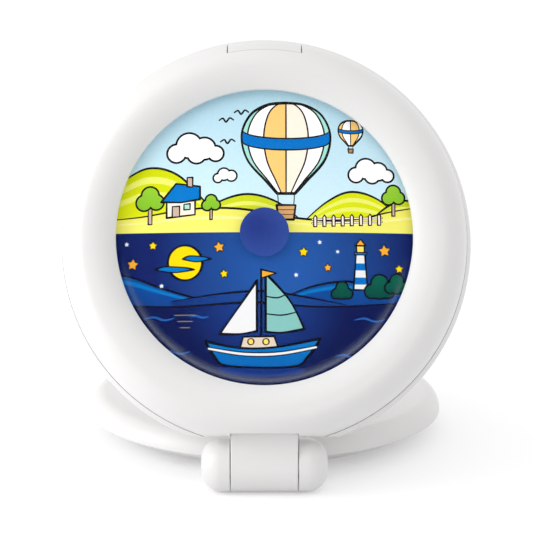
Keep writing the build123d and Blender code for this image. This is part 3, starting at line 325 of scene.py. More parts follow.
def moulded(name, colour, roughness, depth=0.0000004, spread=0.03, **sockets):
    """Moulded plastic: a faint waviness, a mould grain, slightly uneven sheen and soft edges."""
    material, tree, shader = new_material(name, roughness, **sockets)
    tone = mottled(tree, noise(tree, TONE, 3), shade(colour, 1 - spread), colour)
    tree.links.new(tone, shader.inputs["Base Color"])
    sheen = uneven(tree, noise(tree, SHEEN, 1), roughness * 0.97, roughness * 1.03)
    tree.links.new(sheen, shader.inputs["Roughness"])
    bump(tree, shader, [(noise(tree, WAVE, 1), depth * 5), (noise(tree, GRAIN, 1), depth)], SOFT_EDGE)
    return material


def white_plastic(name):
    return moulded(name, WHITE, 0.30, spread=0.012, IOR=1.46)


def white_head(name):
    """White plastic with painted shade in the seam between the front ring and the rear shell."""
    material = white_plastic(name)
    tree = material.node_tree
    shader = tree.nodes["Principled BSDF"]
    unshaded = shader.inputs["Base Color"].links[0].from_socket
    axis = HINGE.dot(OUT_OF_DIAL)
    out = along(tree, OUT_OF_DIAL, axis, axis + 1)  # a metre is 1
    radius = away(tree, HINGE + UP_DIAL * HEAD_CENTRE + OUT_OF_DIAL * SEAM_OUT, 0, 1)
    # Painted shade: the base colour is darker in the groove of the seam, where shade falls.
    groove = multiply(
        tree,
        within(tree, out, SEAM_OUT - SEAM_HALF, SEAM_OUT + SEAM_HALF),
        within(tree, radius, RIM_RADIUS - SEAM_DEPTH, RIM_RADIUS),
    )
    seam_shade = ramp(tree, groove, [(0.0, grey(1)), (1.0, SEAM_SHADE)])
    tree.links.new(multiply(tree, unshaded, seam_shade), shader.inputs["Base Color"])
    return material


def badge(name, dark, light):
    """Glossy disc with a painted reflection, lighter towards its lower right edge."""
    material, tree, shader = new_material(name, 0.18, IOR=1.3)
    low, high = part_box("centre_badge")
    centre, radius = (low + high) / 2, (high.x - low.x) / 2
    aside = 0.3 * radius
    reflection_start = centre - Vector((aside, 0, 0)) + aside * UP_DIAL
    # Painted reflection: the colour is lighter away from a point above and left of the badge's middle.
    colour = ramp(tree, away(tree, reflection_start, aside, 1.4 * radius), [(0.0, dark), (1.0, light)])
    tint = mottled(tree, noise(tree, 0.0012, 3), grey(0.94), grey(1))
    tree.links.new(multiply(tree, colour, tint), shader.inputs["Base Color"])
    tree.links.new(uneven(tree, noise(tree, 0.004, 4), 0.16, 0.2), shader.inputs["Roughness"])
    return material


def painted_lip_reflection(tree, most):
    """Painted reflection: share of light that the lens's rounded edge reflects, laid as a band in the lip,
    strongest below.
    """
    middle = HINGE + UP_DIAL * DIAL_CENTRE + OUT_OF_DIAL * film_edge[1]
    lip = FILM_RADIUS - FILM_HIDDEN
    stops = [(0.0, grey(0)), (0.35, grey(0.3 * most)), (0.68, grey(most)), (0.93, grey(0))]
    band = ramp(tree, away(tree, middle, lip - LENS_BAND, lip), stops)
    low = along(tree, UP_DIAL, DIAL_HEIGHT - BAND_START, DIAL_HEIGHT - BAND_FULL)
    return multiply(tree, band, low)


def clear_plastic(name, head_on, grazing, roughness, lip_reflection_share=0.0):
    """Clear plastic, with the shares of light it reflects seen head on and at a grazing angle."""
    material, tree = bare_material(name)
    through = tree.nodes.new("ShaderNodeBsdfTransparent")
    gloss = tree.nodes.new("ShaderNodeBsdfGlossy")
    gloss.inputs["Color"].default_value = LENS_GLINT
    sheen = uneven(tree, noise(tree, 0.008, 3), roughness * 0.8, roughness * 1.2)
    tree.links.new(sheen, gloss.inputs["Roughness"])
    slant = tree.nodes.new("ShaderNodeLayerWeight")
    slope = calculate(tree, "POWER", slant.outputs["Facing"], 5.0)
    share = between(tree, slope, 0, 1, head_on, grazing)
    # painted reflection: more gloss in a band in the lip, strongest below
    if lip_reflection_share:
        share = calculate(tree, "MAXIMUM", share, painted_lip_reflection(tree, lip_reflection_share))
    surface = mix_shaders(tree, share, through.outputs["BSDF"], gloss.outputs["BSDF"])
    tree.links.new(surface, tree.nodes["Material Output"].inputs["Surface"])
    return material


def metal(name, colour, roughness, stretch):
    """Plated metal with fine drawn lines."""
    material, tree, shader = new_material(name, roughness, Metallic=1.0)
    lines = noise(tree, 0.0006, 4, stretch)
    tree.links.new(mottled(tree, lines, shade(colour, 0.78), colour), shader.inputs["Base Color"])
    sheen = uneven(tree, lines, roughness * 0.75, roughness * 1.3)
    tree.links.new(sheen, shader.inputs["Roughness"])
    bump(tree, shader, [(lines, 0.000004)])
    return material


def circuit_board(name):
    """Green solder mask with copper tracks just showing through it."""
    material, tree, shader = new_material(name, 0.35)
    place = tree.nodes.new("ShaderNodeTexCoord")
    tracks = tree.nodes.new("ShaderNodeTexBrick")
    tracks.inputs["Scale"].default_value = 220
    tracks.inputs["Mortar Size"].default_value = 0.04
    tracks.inputs["Color1"].default_value = linear(18, 88, 48)
    tracks.inputs["Color2"].default_value = linear(22, 98, 54)
    tracks.inputs["Mortar"].default_value = linear(58, 142, 84)
    tree.links.new(place.outputs["Object"], tracks.inputs["Vector"])
    tree.links.new(tracks.outputs["Color"], shader.inputs["Base Color"])
    bump(tree, shader, [(tracks.outputs["Fac"], 0.00002)])
    return material


def battery_sleeve(name):
    """Printed sleeve with a darker band at one end of the cell."""
    material, tree, shader = new_material(name, 0.3, Metallic=0.4)
    across = along(tree, (1, 0, 0), -SLEEVE_HALF, SLEEVE_HALF)
    stops = [(0.0, linear(40, 44, 46)), (0.3, linear(52, 120, 84)), (1.0, linear(84, 160, 112))]
    tree.links.new(ramp(tree, across, stops), shader.inputs["Base Color"])
    bump(tree, shader, [(noise(tree, 0.0008, 2), 0.000006)])
    return material


milky = moulded("milky_diffuser", linear(236, 238, 240), 0.45, spread=0.03)
clear_window = clear_plastic("clear_window", 0.03, 0.6, 0.05)
MATERIAL_OF_SLOT = {
    "white_shell": white_plastic("white_shell"),
    "clear_lens": clear_plastic("clear_lens", 0.003, 0.4, 0.12, lip_reflection_share=0.075),
    "dial_artwork": milky,
    "badge_blue": badge("badge_blue", linear(26, 54, 142), linear(46, 80, 168)),
    "milky_diffuser": milky,
    "clear_guide": clear_window,
    "black_plastic": moulded("black_plastic", linear(28, 28, 30), 0.5, depth=0.000004, spread=0.2),
    "led_yellow": moulded("led_resin", linear(248, 226, 120), 0.25, spread=0.1),
    "circuit_board": circuit_board("circuit_board"),
    "battery_sleeve": battery_sleeve("battery_sleeve"),
    "spring_steel": metal("spring_steel", linear(214, 212, 204), 0.24, (8, 1, 1)),
    "screw_steel": metal("screw_steel", linear(196, 196, 194), 0.3, (1, 1, 8)),
    "display_glass": moulded("display_glass", linear(150, 160, 140), 0.2, spread=0.04),
    "smoked_window": clear_window,
    "grey_rubber": moulded("grey_rubber", linear(118, 118, 122), 0.72, depth=0.000006, spread=0.12),
    "blue_control": moulded("blue_control", linear(44, 92, 172), 0.42, depth=0.000003, spread=0.08),
}
HEAD_MATERIAL = white_head("white_head_shell")
MATERIAL_OF_NODE = {"front_ring": HEAD_MATERIAL, "rear_shell": HEAD_MATERIAL}
SHARP_EDGE = math.radians(32)
WELD = 0.000001  # corners nearer than this are one


def smooth_by_angle():
    """Geometry nodes that shade faces smoothly across every edge flatter than SHARP_EDGE."""
    group = bpy.data.node_groups.new("smooth_by_angle", "GeometryNodeTree")
    for direction in ("INPUT", "OUTPUT"):
        group.interface.new_socket("Geometry", in_out=direction, socket_type="NodeSocketGeometry")
    chain = [group.nodes.new("NodeGroupInput")]
    merge = group.nodes.new("GeometryNodeMergeByDistance")
    merge.inputs["Distance"].default_value = WELD
    faces = group.nodes.new("GeometryNodeSetShadeSmooth")
    faces.domain = "FACE"
    edges = group.nodes.new("GeometryNodeSetShadeSmooth")
    edges.domain = "EDGE"
    angle = group.nodes.new("GeometryNodeInputMeshEdgeAngle")
    flat = group.nodes.new("FunctionNodeCompare")
    flat.operation = "LESS_THAN"
    flat.inputs["B"].default_value = SHARP_EDGE
    group.links.new(angle.outputs["Unsigned Angle"], flat.inputs["A"])
    group.links.new(flat.outputs["Result"], edges.inputs["Shade Smooth"])
    chain += [merge, faces, edges, group.nodes.new("NodeGroupOutput")]
    for start, end in zip(chain, chain[1:]):
        group.links.new(start.outputs["Geometry"], end.inputs["Geometry"])
    return group


def smooth(node, group):
    """Even shading over the CAD's uneven triangles."""
    node.modifiers.new("smooth_by_angle", "NODES").node_group = group
    even = node.modifiers.new("even_normals", "WEIGHTED_NORMAL")
    even.mode = "FACE_AREA"
    even.weight = 80
    even.keep_sharp = True


def dress_nodes():
    """Each CAD node gets a material of its own or its slot's, and even shading."""
    smoothing = smooth_by_angle()
    for part in frame["record"]["subparts"]:
        node = frame["nodes"][part["node"]]
        node.data.materials.clear()
        material = MATERIAL_OF_NODE.get(part["node"], MATERIAL_OF_SLOT[part["material_slot"]])
        node.data.materials.append(material)
        smooth(node, smoothing)


dress_nodes()


# ---- Drawing helpers, in millimetres ----
picture = []  # (outline, ink), painted in order
LONGEST_STEP = 3.0
SHORTEST_STEP = 0.0001
EDGE = 60.0  # past the film's rim, where landscape shapes are closed
STRIPE = 0.11  # pale band, as a share of its hill's height
STAR_WAIST = 0.52  # inner corners, as a share of a star's radius


def placed(points, x, y, size=1.0):
    """Points drawn about an origin, moved and scaled."""
    return [(x + size * across, y + size * up) for across, up in points]


def curve(points, closed=False, steps=8):
    """Smooth line through points, as a Catmull-Rom spline."""
    count = len(points)
    made = []
    for index in range(count if closed else count - 1):
        if closed:
            nearby = [points[(index + shift) % count] for shift in (-1, 0, 1, 2)]
        else:
            nearby = [points[min(max(index + shift, 0), count - 1)] for shift in (-1, 0, 1, 2)]
        for step in range(steps):
            share = step / steps
            weights = (
                -0.5 * share + share * share - 0.5 * share**3,
                1 - 2.5 * share * share + 1.5 * share**3,
                0.5 * share + 2 * share * share - 1.5 * share**3,
                -0.5 * share * share + 0.5 * share**3,
            )
            pairs = list(zip(weights, nearby))
            made.append(tuple(sum(weight * point[axis] for weight, point in pairs) for axis in (0, 1)))
    return made if closed else made + [tuple(points[-1])]


def oval(x, y, across, up, count=40):
    """Closed oval from its half sizes."""
    angles = [2 * math.pi * index / count for index in range(count)]
    return [(x + across * math.cos(angle), y + up * math.sin(angle)) for angle in angles]


def star(x, y, radius, turn):
    """Plump five-pointed star, turned by degrees."""
    points = []
    for index in range(10):
        reach = radius if index % 2 == 0 else radius * STAR_WAIST
        angle = math.radians(turn + 90 + 36 * index)
        points.append((x + reach * math.cos(angle), y + reach * math.sin(angle)))
    return points


def fill(outline, ink):
    """Patch of ink; every outline turns the same way, in steps short enough to follow the film."""
    edges = list(zip(outline, outline[1:] + outline[:1]))
    if sum(x0 * y1 - x1 * y0 for (x0, y0), (x1, y1) in edges) < 0:
        edges = [(end, start) for start, end in edges[::-1]]
    stepped = []
    for (x0, y0), (x1, y1) in edges:
        steps = max(1, math.ceil(math.hypot(x1 - x0, y1 - y0) / LONGEST_STEP))
        for step in range(steps):
            stepped.append((x0 + (x1 - x0) * step / steps, y0 + (y1 - y0) * step / steps))
    picture.append((stepped, ink))


def pressure(share, closed, taper):
    """How heavily the brush is pressed along a stroke."""
    if taper:
        return 0.3 + 0.7 * math.sin(math.pi * share)
    if closed:
        return 1 + 0.2 * math.sin(4 * math.pi * share + 1)
    return 0.8 + 0.25 * math.sin(math.pi * share)


def stroke(points, width=0.6, ink="outline", closed=False, taper=False):
    """Brush line: a patch along each step and a dot at each point."""
    points = list(points) + ([points[0]] if closed else [])
    last = len(points) - 1
    halves = [width / 2 * pressure(index / last, closed, taper) for index in range(last + 1)]
    for index in range(last):
        (x0, y0), (x1, y1) = points[index], points[index + 1]
        length = math.hypot(x1 - x0, y1 - y0)
        if length < SHORTEST_STEP:
            continue
        side = -(y1 - y0) / length, (x1 - x0) / length
        near, far = halves[index], halves[index + 1]
        patch = [
            (x0 + side[0] * near, y0 + side[1] * near),
            (x0 - side[0] * near, y0 - side[1] * near),
            (x1 - side[0] * far, y1 - side[1] * far),
            (x1 + side[0] * far, y1 + side[1] * far),
        ]
        fill(patch, ink)
        fill(oval(x0, y0, near, near, count=8), ink)
    fill(oval(*points[-1], halves[-1], halves[-1], count=8), ink)


def shape(outline, ink, width=0.6):
    """Filled shape with an outline."""
    fill(outline, ink)
    stroke(outline, width, closed=True)


def puffs(x, y, size, lumps, ink="white", width=0.6):
    """Cloud or tree crown; lumps are (across, up, radius) shares of the size."""
    circles = [(x + size * across, y + size * up, size * radius) for across, up, radius in lumps]
    for grown, colour in ((width / 2, "outline"), (-width / 2, ink)):
        for across, up, radius in circles:
            fill(oval(across, up, radius + grown, radius + grown, count=28), colour)


def hill(points, ink, foot, stripes=(), light="lime_light"):
    """Hill under a smooth skyline; stripes are shares of its height where a pale band runs across."""
    skyline = curve(points)
    fill(skyline + [(points[-1][0], foot), (points[0][0], foot)], ink)
    for share in stripes:
        band = [(x, foot + (y - foot) * share) for x, y in skyline]
        lower = [(x, foot + (y - foot) * (share - STRIPE)) for x, y in skyline]
        fill(band + lower[::-1], light)
    stroke(skyline, 0.75, taper=True)


# ---- Day scene ----
def cottage(x, y, size):
    """Cottage seen a little from its side."""
    walls = [(-4.6, -4.6), (-4.6, 1.4), (4.6, 2.0), (4.6, -3.6)]
    roof = [(-6.4, 0.6), (-1.6, 6.6), (6.2, 5.6), (6.2, 1.4), (0, 0.4)]
    chimney = [(2.0, 5.6), (2.0, 8.6), (3.8, 8.6), (3.8, 5.4)]
    door = [(-2.8, -4.4), (-2.8, -0.9), (-0.4, -0.8), (-0.4, -4.2)]
    window = [(1.0, -2.0), (1.0, -0.2), (3.0, 0.0), (3.0, -1.9)]
    shape(placed(walls, x, y, size), "cream")
    shape(placed(roof, x, y, size), "roof", 0.65)
    shape(placed(chimney, x, y, size), "tan", 0.5)
    shape(placed(door, x, y, size), "tan", 0.45)
    shape(placed(window, x, y, size), "mint", 0.45)


def leafy_tree(x, y, size):
    trunk = [(-0.14, -1.6), (-0.14, 0), (0.14, 0), (0.14, -1.6)]
    crown = [(-0.45, 0, 0.6), (0.45, 0.05, 0.58), (0, 0.55, 0.66)]
    shape(placed(trunk, x, y, size), "tan", 0.4)
    puffs(x, y, size, crown, "leaf")


def fence(start, end, posts):
    """Cream fence along the field."""
    ends = np.array([start, end])
    for rise in (1.1, 2.4):
        rail = [tuple(point) for point in ends + (0, rise)]
        stroke(rail, 0.95)
        stroke(rail, 0.5, "cream")
    post = [(-0.5, 0), (-0.5, 3.0), (0, 3.7), (0.5, 3.0), (0.5, 0)]
    for share in np.linspace(0.04, 0.96, posts):
        x, y = ends[0] + (ends[1] - ends[0]) * share
        shape(placed(post, x, y), "cream", 0.4)


def balloon(x, y, size, inks, width):
    """Hot-air balloon with a gore for each ink, a ribbon and a wicker basket."""
    foot = -13.4
    widest = 12.2
    profile = [(0, 12.2), (0.42, 11.6), (0.8, 8.8), (1, 3.0), (0.87, -4.0), (0.45, -10.0), (0.2, foot)]
    ribs = []
    for index in range(len(inks) + 1):
        reach = widest * math.sin((index / len(inks) - 0.5) * math.pi)
        ribs.append(curve(placed([(share * reach, up) for share, up in profile], x, y, size)))
    for ink, left, right in zip(inks, ribs, ribs[1:]):
        fill(left + right[::-1], ink)
    for rib in ribs[1:-1]:
        stroke(rib, width * 0.6)
    angles = np.linspace(-1.5, 1.5, 19)
    sag = [(12.0 * math.sin(angle), 1.2 - 2.4 * math.cos(angle)) for angle in angles]
    lower = placed(sag, x, y, size)
    upper = [(across, up + 3.2 * size) for across, up in lower]
    fill(lower + upper[::-1], "ribbon")
    stroke(lower, width * 0.6)
    stroke(upper, width * 0.6)
    stroke(ribs[0] + ribs[-1][::-1], width, closed=True)
    for side in (-2.3, 2.3):
        stroke(placed([(side, foot), (side * 0.9, foot - 3.6)], x, y, size), width * 0.5)
    basket = [(-2.6, -3.2), (2.6, -3.2), (2.1, -7.2), (-2.1, -7.2)]
    shape(placed(basket, x, y + foot * size, size), "basket", width * 0.8)
    for row in (-4.5, -5.8):
        stroke(placed([(-2.3, row), (2.3, row)], x, y + foot * size, size), width * 0.35)


def sky():
    """Day sky with clouds."""
    fill([(-EDGE, DIVIDE), (EDGE, DIVIDE), (EDGE, EDGE), (-EDGE, EDGE)], "sky")
    small_cloud = [(-0.95, -0.1, 0.5), (-0.3, 0.32, 0.68), (0.5, 0.15, 0.6)]
    big_cloud = small_cloud + [(1.1, -0.12, 0.42), (0.1, -0.15, 0.5)]
    puffs(-22.6, 27.8, 6.2, big_cloud, width=0.7)
    puffs(34.4, 20.6, 5.0, big_cloud, width=0.65)
    puffs(-12.2, 19.2, 3.0, small_cloud)


def day_hills():
    """Striped hills behind a field."""
    foot = 2  # hidden by the field
    hill([(-54, 12), (-45, 19), (-37, 22.5), (-28, 20), (-19, 11), (-13, 4)], "lime", foot, (0.86, 0.62))
    hill([(12, 4), (20, 11), (28, 14.5), (37, 12), (46, 4)], "lime", foot, (0.84, 0.6))
    hill([(-26, 4), (-15, 11.0), (-5, 13.6), (5, 10.5), (14, 3)], "meadow", foot, (0.8,))
    hill([(33, 4), (40, 10), (46, 12), (54, 10)], "meadow", foot, (0.8,))
    skyline = [(-54, 5.4), (-40, 6.4), (-24, 8.8), (-8, 8.8)]
    skyline += [(12, 5.6), (28, 5.4), (42, 8.4), (54, 10.5)]
    hill(skyline, "field", DIVIDE, (0.66,), "field_light")


def birds():
    bird = [(-2, 0.5), (-0.9, 1.1), (0, 0), (1.1, 1.2), (2.2, 0.6)]
    for x, y in ((-12.5, 37.6), (-7.6, 40.2), (-12.0, 30.4)):
        stroke(curve(placed(bird, x, y, 1.1)))


def draw_day():
    sky()
    balloon(28.0, 34.2, 0.33, ("orange", "white", "orange", "white"), 0.55)
    day_hills()
    balloon(7.0, 29.6, 1.18, ("mint", "white", "orange", "cream", "white", "mint"), 0.85)
    leafy_tree(-37.0, 11.0, 4.4)
    cottage(-27.0, 10.6, 1.0)
    leafy_tree(-17.2, 10.0, 2.9)
    leafy_tree(41.8, 12.6, 3.6)
    fence((15.5, 3.0), (38.0, 3.8), 8)
    birds()


# ---- Night scene ----
MOON = (-25.6, -8.6)
MOON_RADIUS = 5.6
STARS = (  # across, up, radius, ink
    (-42.6, -9.0, 1.8, "star"),
    (-36.0, -3.0, 1.3, "sun"),
    (-14.6, -3.6, 1.7, "star"),
    (-13.0, -12.2, 1.3, "sun"),
    (12.6, -5.2, 1.5, "sun"),
    (20.4, -10.2, 1.2, "star"),
    (38.8, -4.6, 1.9, "star"),
    (43.6, -10.4, 1.3, "sun"),
    (17.8, -2.0, 0.8, "pale"),
    (-44.6, -2.4, 0.8, "pale"),
    (10.2, -12.6, 0.8, "pale"),
    (-33.2, -16.0, 0.8, "pale"),
    (23.6, -5.0, 0.7, "pale"),
)


def lighthouse(x, y, size):
    """Striped tower with a lamp room under a pointed roof."""
    tower = [(-2.4, -7.0), (-1.5, 5.0), (1.5, 5.0), (2.4, -7.0)]
    fill(placed(tower, x, y, size), "night_white")
    for low, high in ((-5.2, -2.8), (-0.4, 2.0)):
        wide, narrow = (2.4 - 0.9 * (up + 7) / 12 for up in (low, high))
        band = [(-wide, low), (wide, low), (narrow, high), (-narrow, high)]
        fill(placed(band, x, y, size), "ribbon")
    stroke(placed(tower, x, y, size), 0.55, closed=True)
    lamp_room = [(-1.3, 5.6), (-1.3, 8.0), (1.3, 8.0), (1.3, 5.6)]
    gallery = [(-2.1, 4.9), (-2.1, 5.7), (2.1, 5.7), (2.1, 4.9)]
    roof = [(-1.9, 8.0), (0, 10.2), (1.9, 8.0)]
    shape(placed(lamp_room, x, y, size), "lamp", 0.45)
    shape(placed(gallery, x, y, size), "hull", 0.4)
    shape(placed(roof, x, y, size), "star", 0.5)


def boat(x, y, size):
    """Sailing boat at rest on the lake."""
    glow = [(-12, -6.4), (0, -5.8), (12, -6.6), (8, -8.4), (-6, -8.6)]
    fill(curve(placed(glow, x, y, size), closed=True), "ripple_soft")
    stroke(placed([(0, 0), (0, 20.8)], x, y, size), 1.0)
    right_sail = [(1.2, 19.8), (7.8, 12.4), (12.0, 4.4)], [(12.0, 4.4), (6, 3.4), (1.2, 3.6)]
    left_sail = [(-1.2, 17.8), (-6.0, 10.8), (-11.6, 3.0)], [(-11.6, 3.0), (-6, 3.0), (-1.2, 3.8)]
    for (leech, foot), ink in ((right_sail, "night_mint"), (left_sail, "night_white")):
        shape(placed(curve(leech) + curve(foot), x, y, size), ink, 0.75)
    for seam in ([(1.2, 13.4), (4.4, 13.0), (6.6, 13.8)], [(1.2, 8.6), (5.6, 8.2), (9.6, 9.0)]):
        stroke(curve(placed(seam, x, y, size)), 0.45)
    flag = [(0, 20.8), (4.2, 19.8), (0, 18.4)]
    shape(placed(flag, x, y, size), "star", 0.5)
    cabin = [(-6, -1.0), (-5.0, 2.2), (3.6, 2.4), (4.8, -1.0)]
    shape(placed(cabin, x, y, size), "cream_dim", 0.6)
    for across in (-2.9, 1.3):
        porthole = oval(across, 0.9, 0.85, 0.85, count=20)
        shape(placed(porthole, x, y, size), "lamp", 0.4)
    keel = [(-15.5, 1.0), (-13, -3.2), (-9, -5.8), (8.5, -6.0), (13, -3.2), (16.5, 1.8)]
    deck = [(16.5, 1.8), (4, -0.6), (-6, -0.8), (-15.5, 1.0)]
    shape(placed(curve(keel) + curve(deck), x, y, size), "hull", 0.85)
    stripe = curve([(-14.6, -1.0), (-5, -2.5), (5, -2.4), (15.2, -0.6)])
    stroke(placed(stripe, x, y, size), 1.5)
    stroke(placed(stripe, x, y, size), 0.75, "night_white")


def moon():
    """Plain round moon with two bands of cloud across it."""
    shape(oval(*MOON, MOON_RADIUS, MOON_RADIUS, count=64), "sun", 0.75)
    for x, y, reach in ((-29.0, -10.8, 6.4), (-21.8, -7.4, 4.6)):
        half = reach / 2
        top = curve([(x - reach, y), (x - half, y + 1.0), (x + half, y + 0.7), (x + reach, y)])
        base = curve([(x + reach, y), (x, y - 0.9), (x - reach, y)])
        shape(top + base, "night_top", 0.5)


def night_hills():
    foot = -26  # hidden by the lake
    left_hill = [(-54, -13), (-45, -12.6), (-34, -16.4), (-22, -20), (-10, -22)]
    right_hill = [(6, -20), (15, -16.4), (26, -14.6), (38, -15.8), (54, -13)]
    for skyline in (left_hill, right_hill):
        hill(skyline, "night_hill", foot, (0.9,), "night_top")
    hill([(-30, -21), (-14, -18.6), (0, -17.8), (14, -19.8), (26, -22)], "night_mid", foot)


def bushes():
    lumps = [(-0.62, -0.12, 0.55), (0.62, -0.1, 0.55), (0, 0.5, 0.68), (0, -0.1, 0.6)]
    for x, y, size in ((25.0, -18.2, 3.0), (37.2, -17.2, 4.2), (42.8, -16.0, 3.4)):
        puffs(x, y, size, lumps, "bush")


def lake():
    """Lake with ripples, and with the moon's light below the moon."""
    shore = [(-54, -21.4), (-30, -22.8), (-4, -21.4), (20, -22.8), (54, -20.6)]
    hill(shore, "lake", -EDGE)
    ripple = [(-1, 0), (-0.35, 0.12), (0.35, -0.08), (1, 0.06)]
    for x, y, reach in ((-34, -26.6, 5), (-29, -37.4, 5), (34, -27.0, 5), (27, -38.6, 4), (-21, -26, 3)):
        stroke(curve(placed(ripple, x, y, reach)), 0.7, "ripple", taper=True)
    for row, reach in enumerate((3.4, 2.4, 1.5)):
        y = -25.4 - 2.0 * row
        stroke([(MOON[0] - reach, y), (MOON[0] + reach, y)], 0.7, "sun_dim", taper=True)


def stars():
    """Stars turned by -10 to 10 degrees, as their places give; the pale ones have no outline."""
    for x, y, size, ink in STARS:
        turn = 37 * x % 20 - 10
        if ink != "pale":
            stroke(star(x, y, size, turn), 0.55, closed=True)
        fill(star(x, y, size, turn), ink)


def draw_night():
    fill([(-EDGE, DIVIDE), (-EDGE, -EDGE), (EDGE, -EDGE), (EDGE, DIVIDE)], "night")
    moon()
    night_hills()
    lighthouse(31.0, -10.6, 0.95)
    bushes()
    lake()
    boat(-1.0, -35.0, 1.16)
    stars()


draw_day()
draw_night()


# ---- Inks ----
PRINT_GLOW = 0.24  # painted glow, standing in for light that comes through the film from the white diffuser

# Each ink's colour. Where it turns into a second one, that colour and the two heights on the dial
# between which it turns come next, or two distances from a point, and then the point comes last.
INK_LOOKS = {
    "outline": [(8, 12, 24), (22, 20, 20), -10, 10],
    "sky": [(206, 235, 246), (180, 216, 230), 12, 46],
    "white": [(255, 255, 253)],
    "lime": [(222, 230, 20), (208, 218, 0), 2, 24],
    "lime_light": [(236, 240, 110)],
    "meadow": [(214, 224, 50), (200, 214, 20), 2, 16],
    "field": [(246, 240, 116), (238, 231, 96), 0, 12],
    "field_light": [(250, 246, 150)],
    "cream": [(255, 240, 222)],
    "tan": [(202, 178, 162)],
    "mint": [(164, 222, 208)],
    "roof": [(0, 118, 200)],
    "ribbon": [(0, 112, 196)],
    "orange": [(255, 204, 120)],
    "sun": [(255, 216, 0)],
    "leaf": [(120, 184, 40), (150, 204, 52), 6, 16],
    "basket": [(222, 170, 110)],
    "night": [(34, 86, 164), (12, 30, 98), 8, 42, (6, -10)],
    "night_hill": [(11, 63, 139), (6, 84, 166), -22, -12],
    "night_top": [(0, 115, 190)],
    "night_mid": [(24, 70, 146), (10, 40, 108), 6, 34, (2, -18)],
    "lake": [(24, 62, 142), (7, 20, 78), 4, 27, (0, -20)],
    "ripple": [(30, 92, 176)],
    "ripple_soft": [(16, 50, 126)],
    "hull": [(0, 98, 176), (4, 118, 196), -42, -34],
    "bush": [(0, 70, 60), (4, 98, 78), -20, -12],
    "star": [(248, 172, 52)],
    "pale": [(230, 238, 250)],
    "lamp": [(255, 222, 96)],
    "sun_dim": [(150, 140, 84)],
    "cream_dim": [(226, 208, 190)],
    "night_mint": [(134, 194, 188)],
    "night_white": [(236, 236, 236)],
}


def printed_ink(name, low, high=None, low_at=0.0, high_at=1.0, about=None):
    """Printed ink with a fine grain and a painted glow, turning from one colour to another up the dial or off a
    point.
    """
    material, tree, shader = new_material("ink_" + name, 0.6, IOR=1.12)
    if about:
        share = away(tree, on_film(*about), low_at * MM, high_at * MM)
    else:
        share = along(tree, UP_DIAL, DIAL_HEIGHT + low_at * MM, DIAL_HEIGHT + high_at * MM)
    colour = ramp(tree, share, [(0.0, linear(*low)), (1.0, linear(*(high or low)))])
    grain = ramp(tree, noise(tree, 0.0008, 2), [(0.35, grey(0.97)), (0.65, grey(1))])
    printed = multiply(tree, colour, grain)
    tree.links.new(printed, shader.inputs["Base Color"])
    # painted glow: the ink's own colour given off as light
    tree.links.new(printed, shader.inputs["Emission Color"])
    shader.inputs["Emission Strength"].default_value = PRINT_GLOW
    return material


INKS = {name: printed_ink(name, *look) for name, look in INK_LOOKS.items()}


# ---- Printed picture: one skin on the film, cut along every drawn line ----
PICTURE_RADIUS = FILM_RADIUS / MM - 0.15
GRID_RADIUS = FILM_RADIUS / MM - 1.5
ROW_STEP = 0.87  # of a step, as in triangles with equal sides
BADGE_HOLE = 2.8  # hole's radius, behind the badge
SAME_PLACE = 1e-5  # points nearer than this are one


def grid_points():
    """Places a step apart, so that the skin follows the film's ball in large patches too."""
    reach = int(FILM_RADIUS / MM / LONGEST_STEP) + 1
    places = []
    for row in range(-reach, reach + 1):
        for column in range(-reach, reach + 1):
            place = ((column + 0.5 * (row % 2)) * LONGEST_STEP, row * LONGEST_STEP * ROW_STEP)
            if math.hypot(*place) < GRID_RADIUS:
                places.append(Vector(place))
    return places


def printed_picture():
    """Skin in which each patch has the ink that was painted there last."""
    rim = oval(0, 0, PICTURE_RADIUS, PICTURE_RADIUS, count=240)
    hole = oval(0, DIVIDE, BADGE_HOLE, BADGE_HOLE, count=32)
    outlines = [rim] + [outline for outline, _ in picture] + [hole]
    corners, faces = [], []
    for outline in outlines:
        faces.append(list(range(len(corners), len(corners) + len(outline))))
        corners += [Vector(point) for point in outline]
    corners += grid_points()
    points, _, cells, _, _, owners = delaunay_2d_cdt(corners, [], faces, 0, SAME_PLACE)
    names = list(INKS)
    kept, painted = [], []
    for cell, owner in zip(cells, owners):
        in_rim, in_hole, inked = 0 in owner, len(outlines) - 1 in owner, len(owner) > 1
        if in_rim and inked and not in_hole:
            kept.append(cell)
            painted.append(names.index(picture[max(owner) - 1][1]))
    mesh = bpy.data.meshes.new("dial_picture")
    mesh.from_pydata([on_film(*point) for point in points], [], kept)
    for name in names:
        mesh.materials.append(INKS[name])
    mesh.polygons.foreach_set("material_index", painted)
    mesh.polygons.foreach_set("use_smooth", [True] * len(kept))
    mesh.update()
    return add_object("dial_picture", mesh)


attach(printed_picture(), "clock_head")


# ---- Time on the display, which is read from behind ----
SEGMENTS = {"0": "abcdef", "3": "abcdg", "7": "abc", ":": "mn"}
FIGURE_HEIGHT = 0.5  # of the display's height
FIGURE_STEP = 0.85  # of a figure's height
COLON_STEP = 0.45  # of a figure's height


def bar(x, y, length, width, upright):
    """Six-cornered bar of a figure, lying or upright."""
    half, side = length / 2, width / 2
    corners = [(-half, 0), (side - half, side), (half - side, side)]
    corners += [(-across, -up) for across, up in corners]
    return [(x - up, y + across) if upright else (x + across, y + up) for across, up in corners]


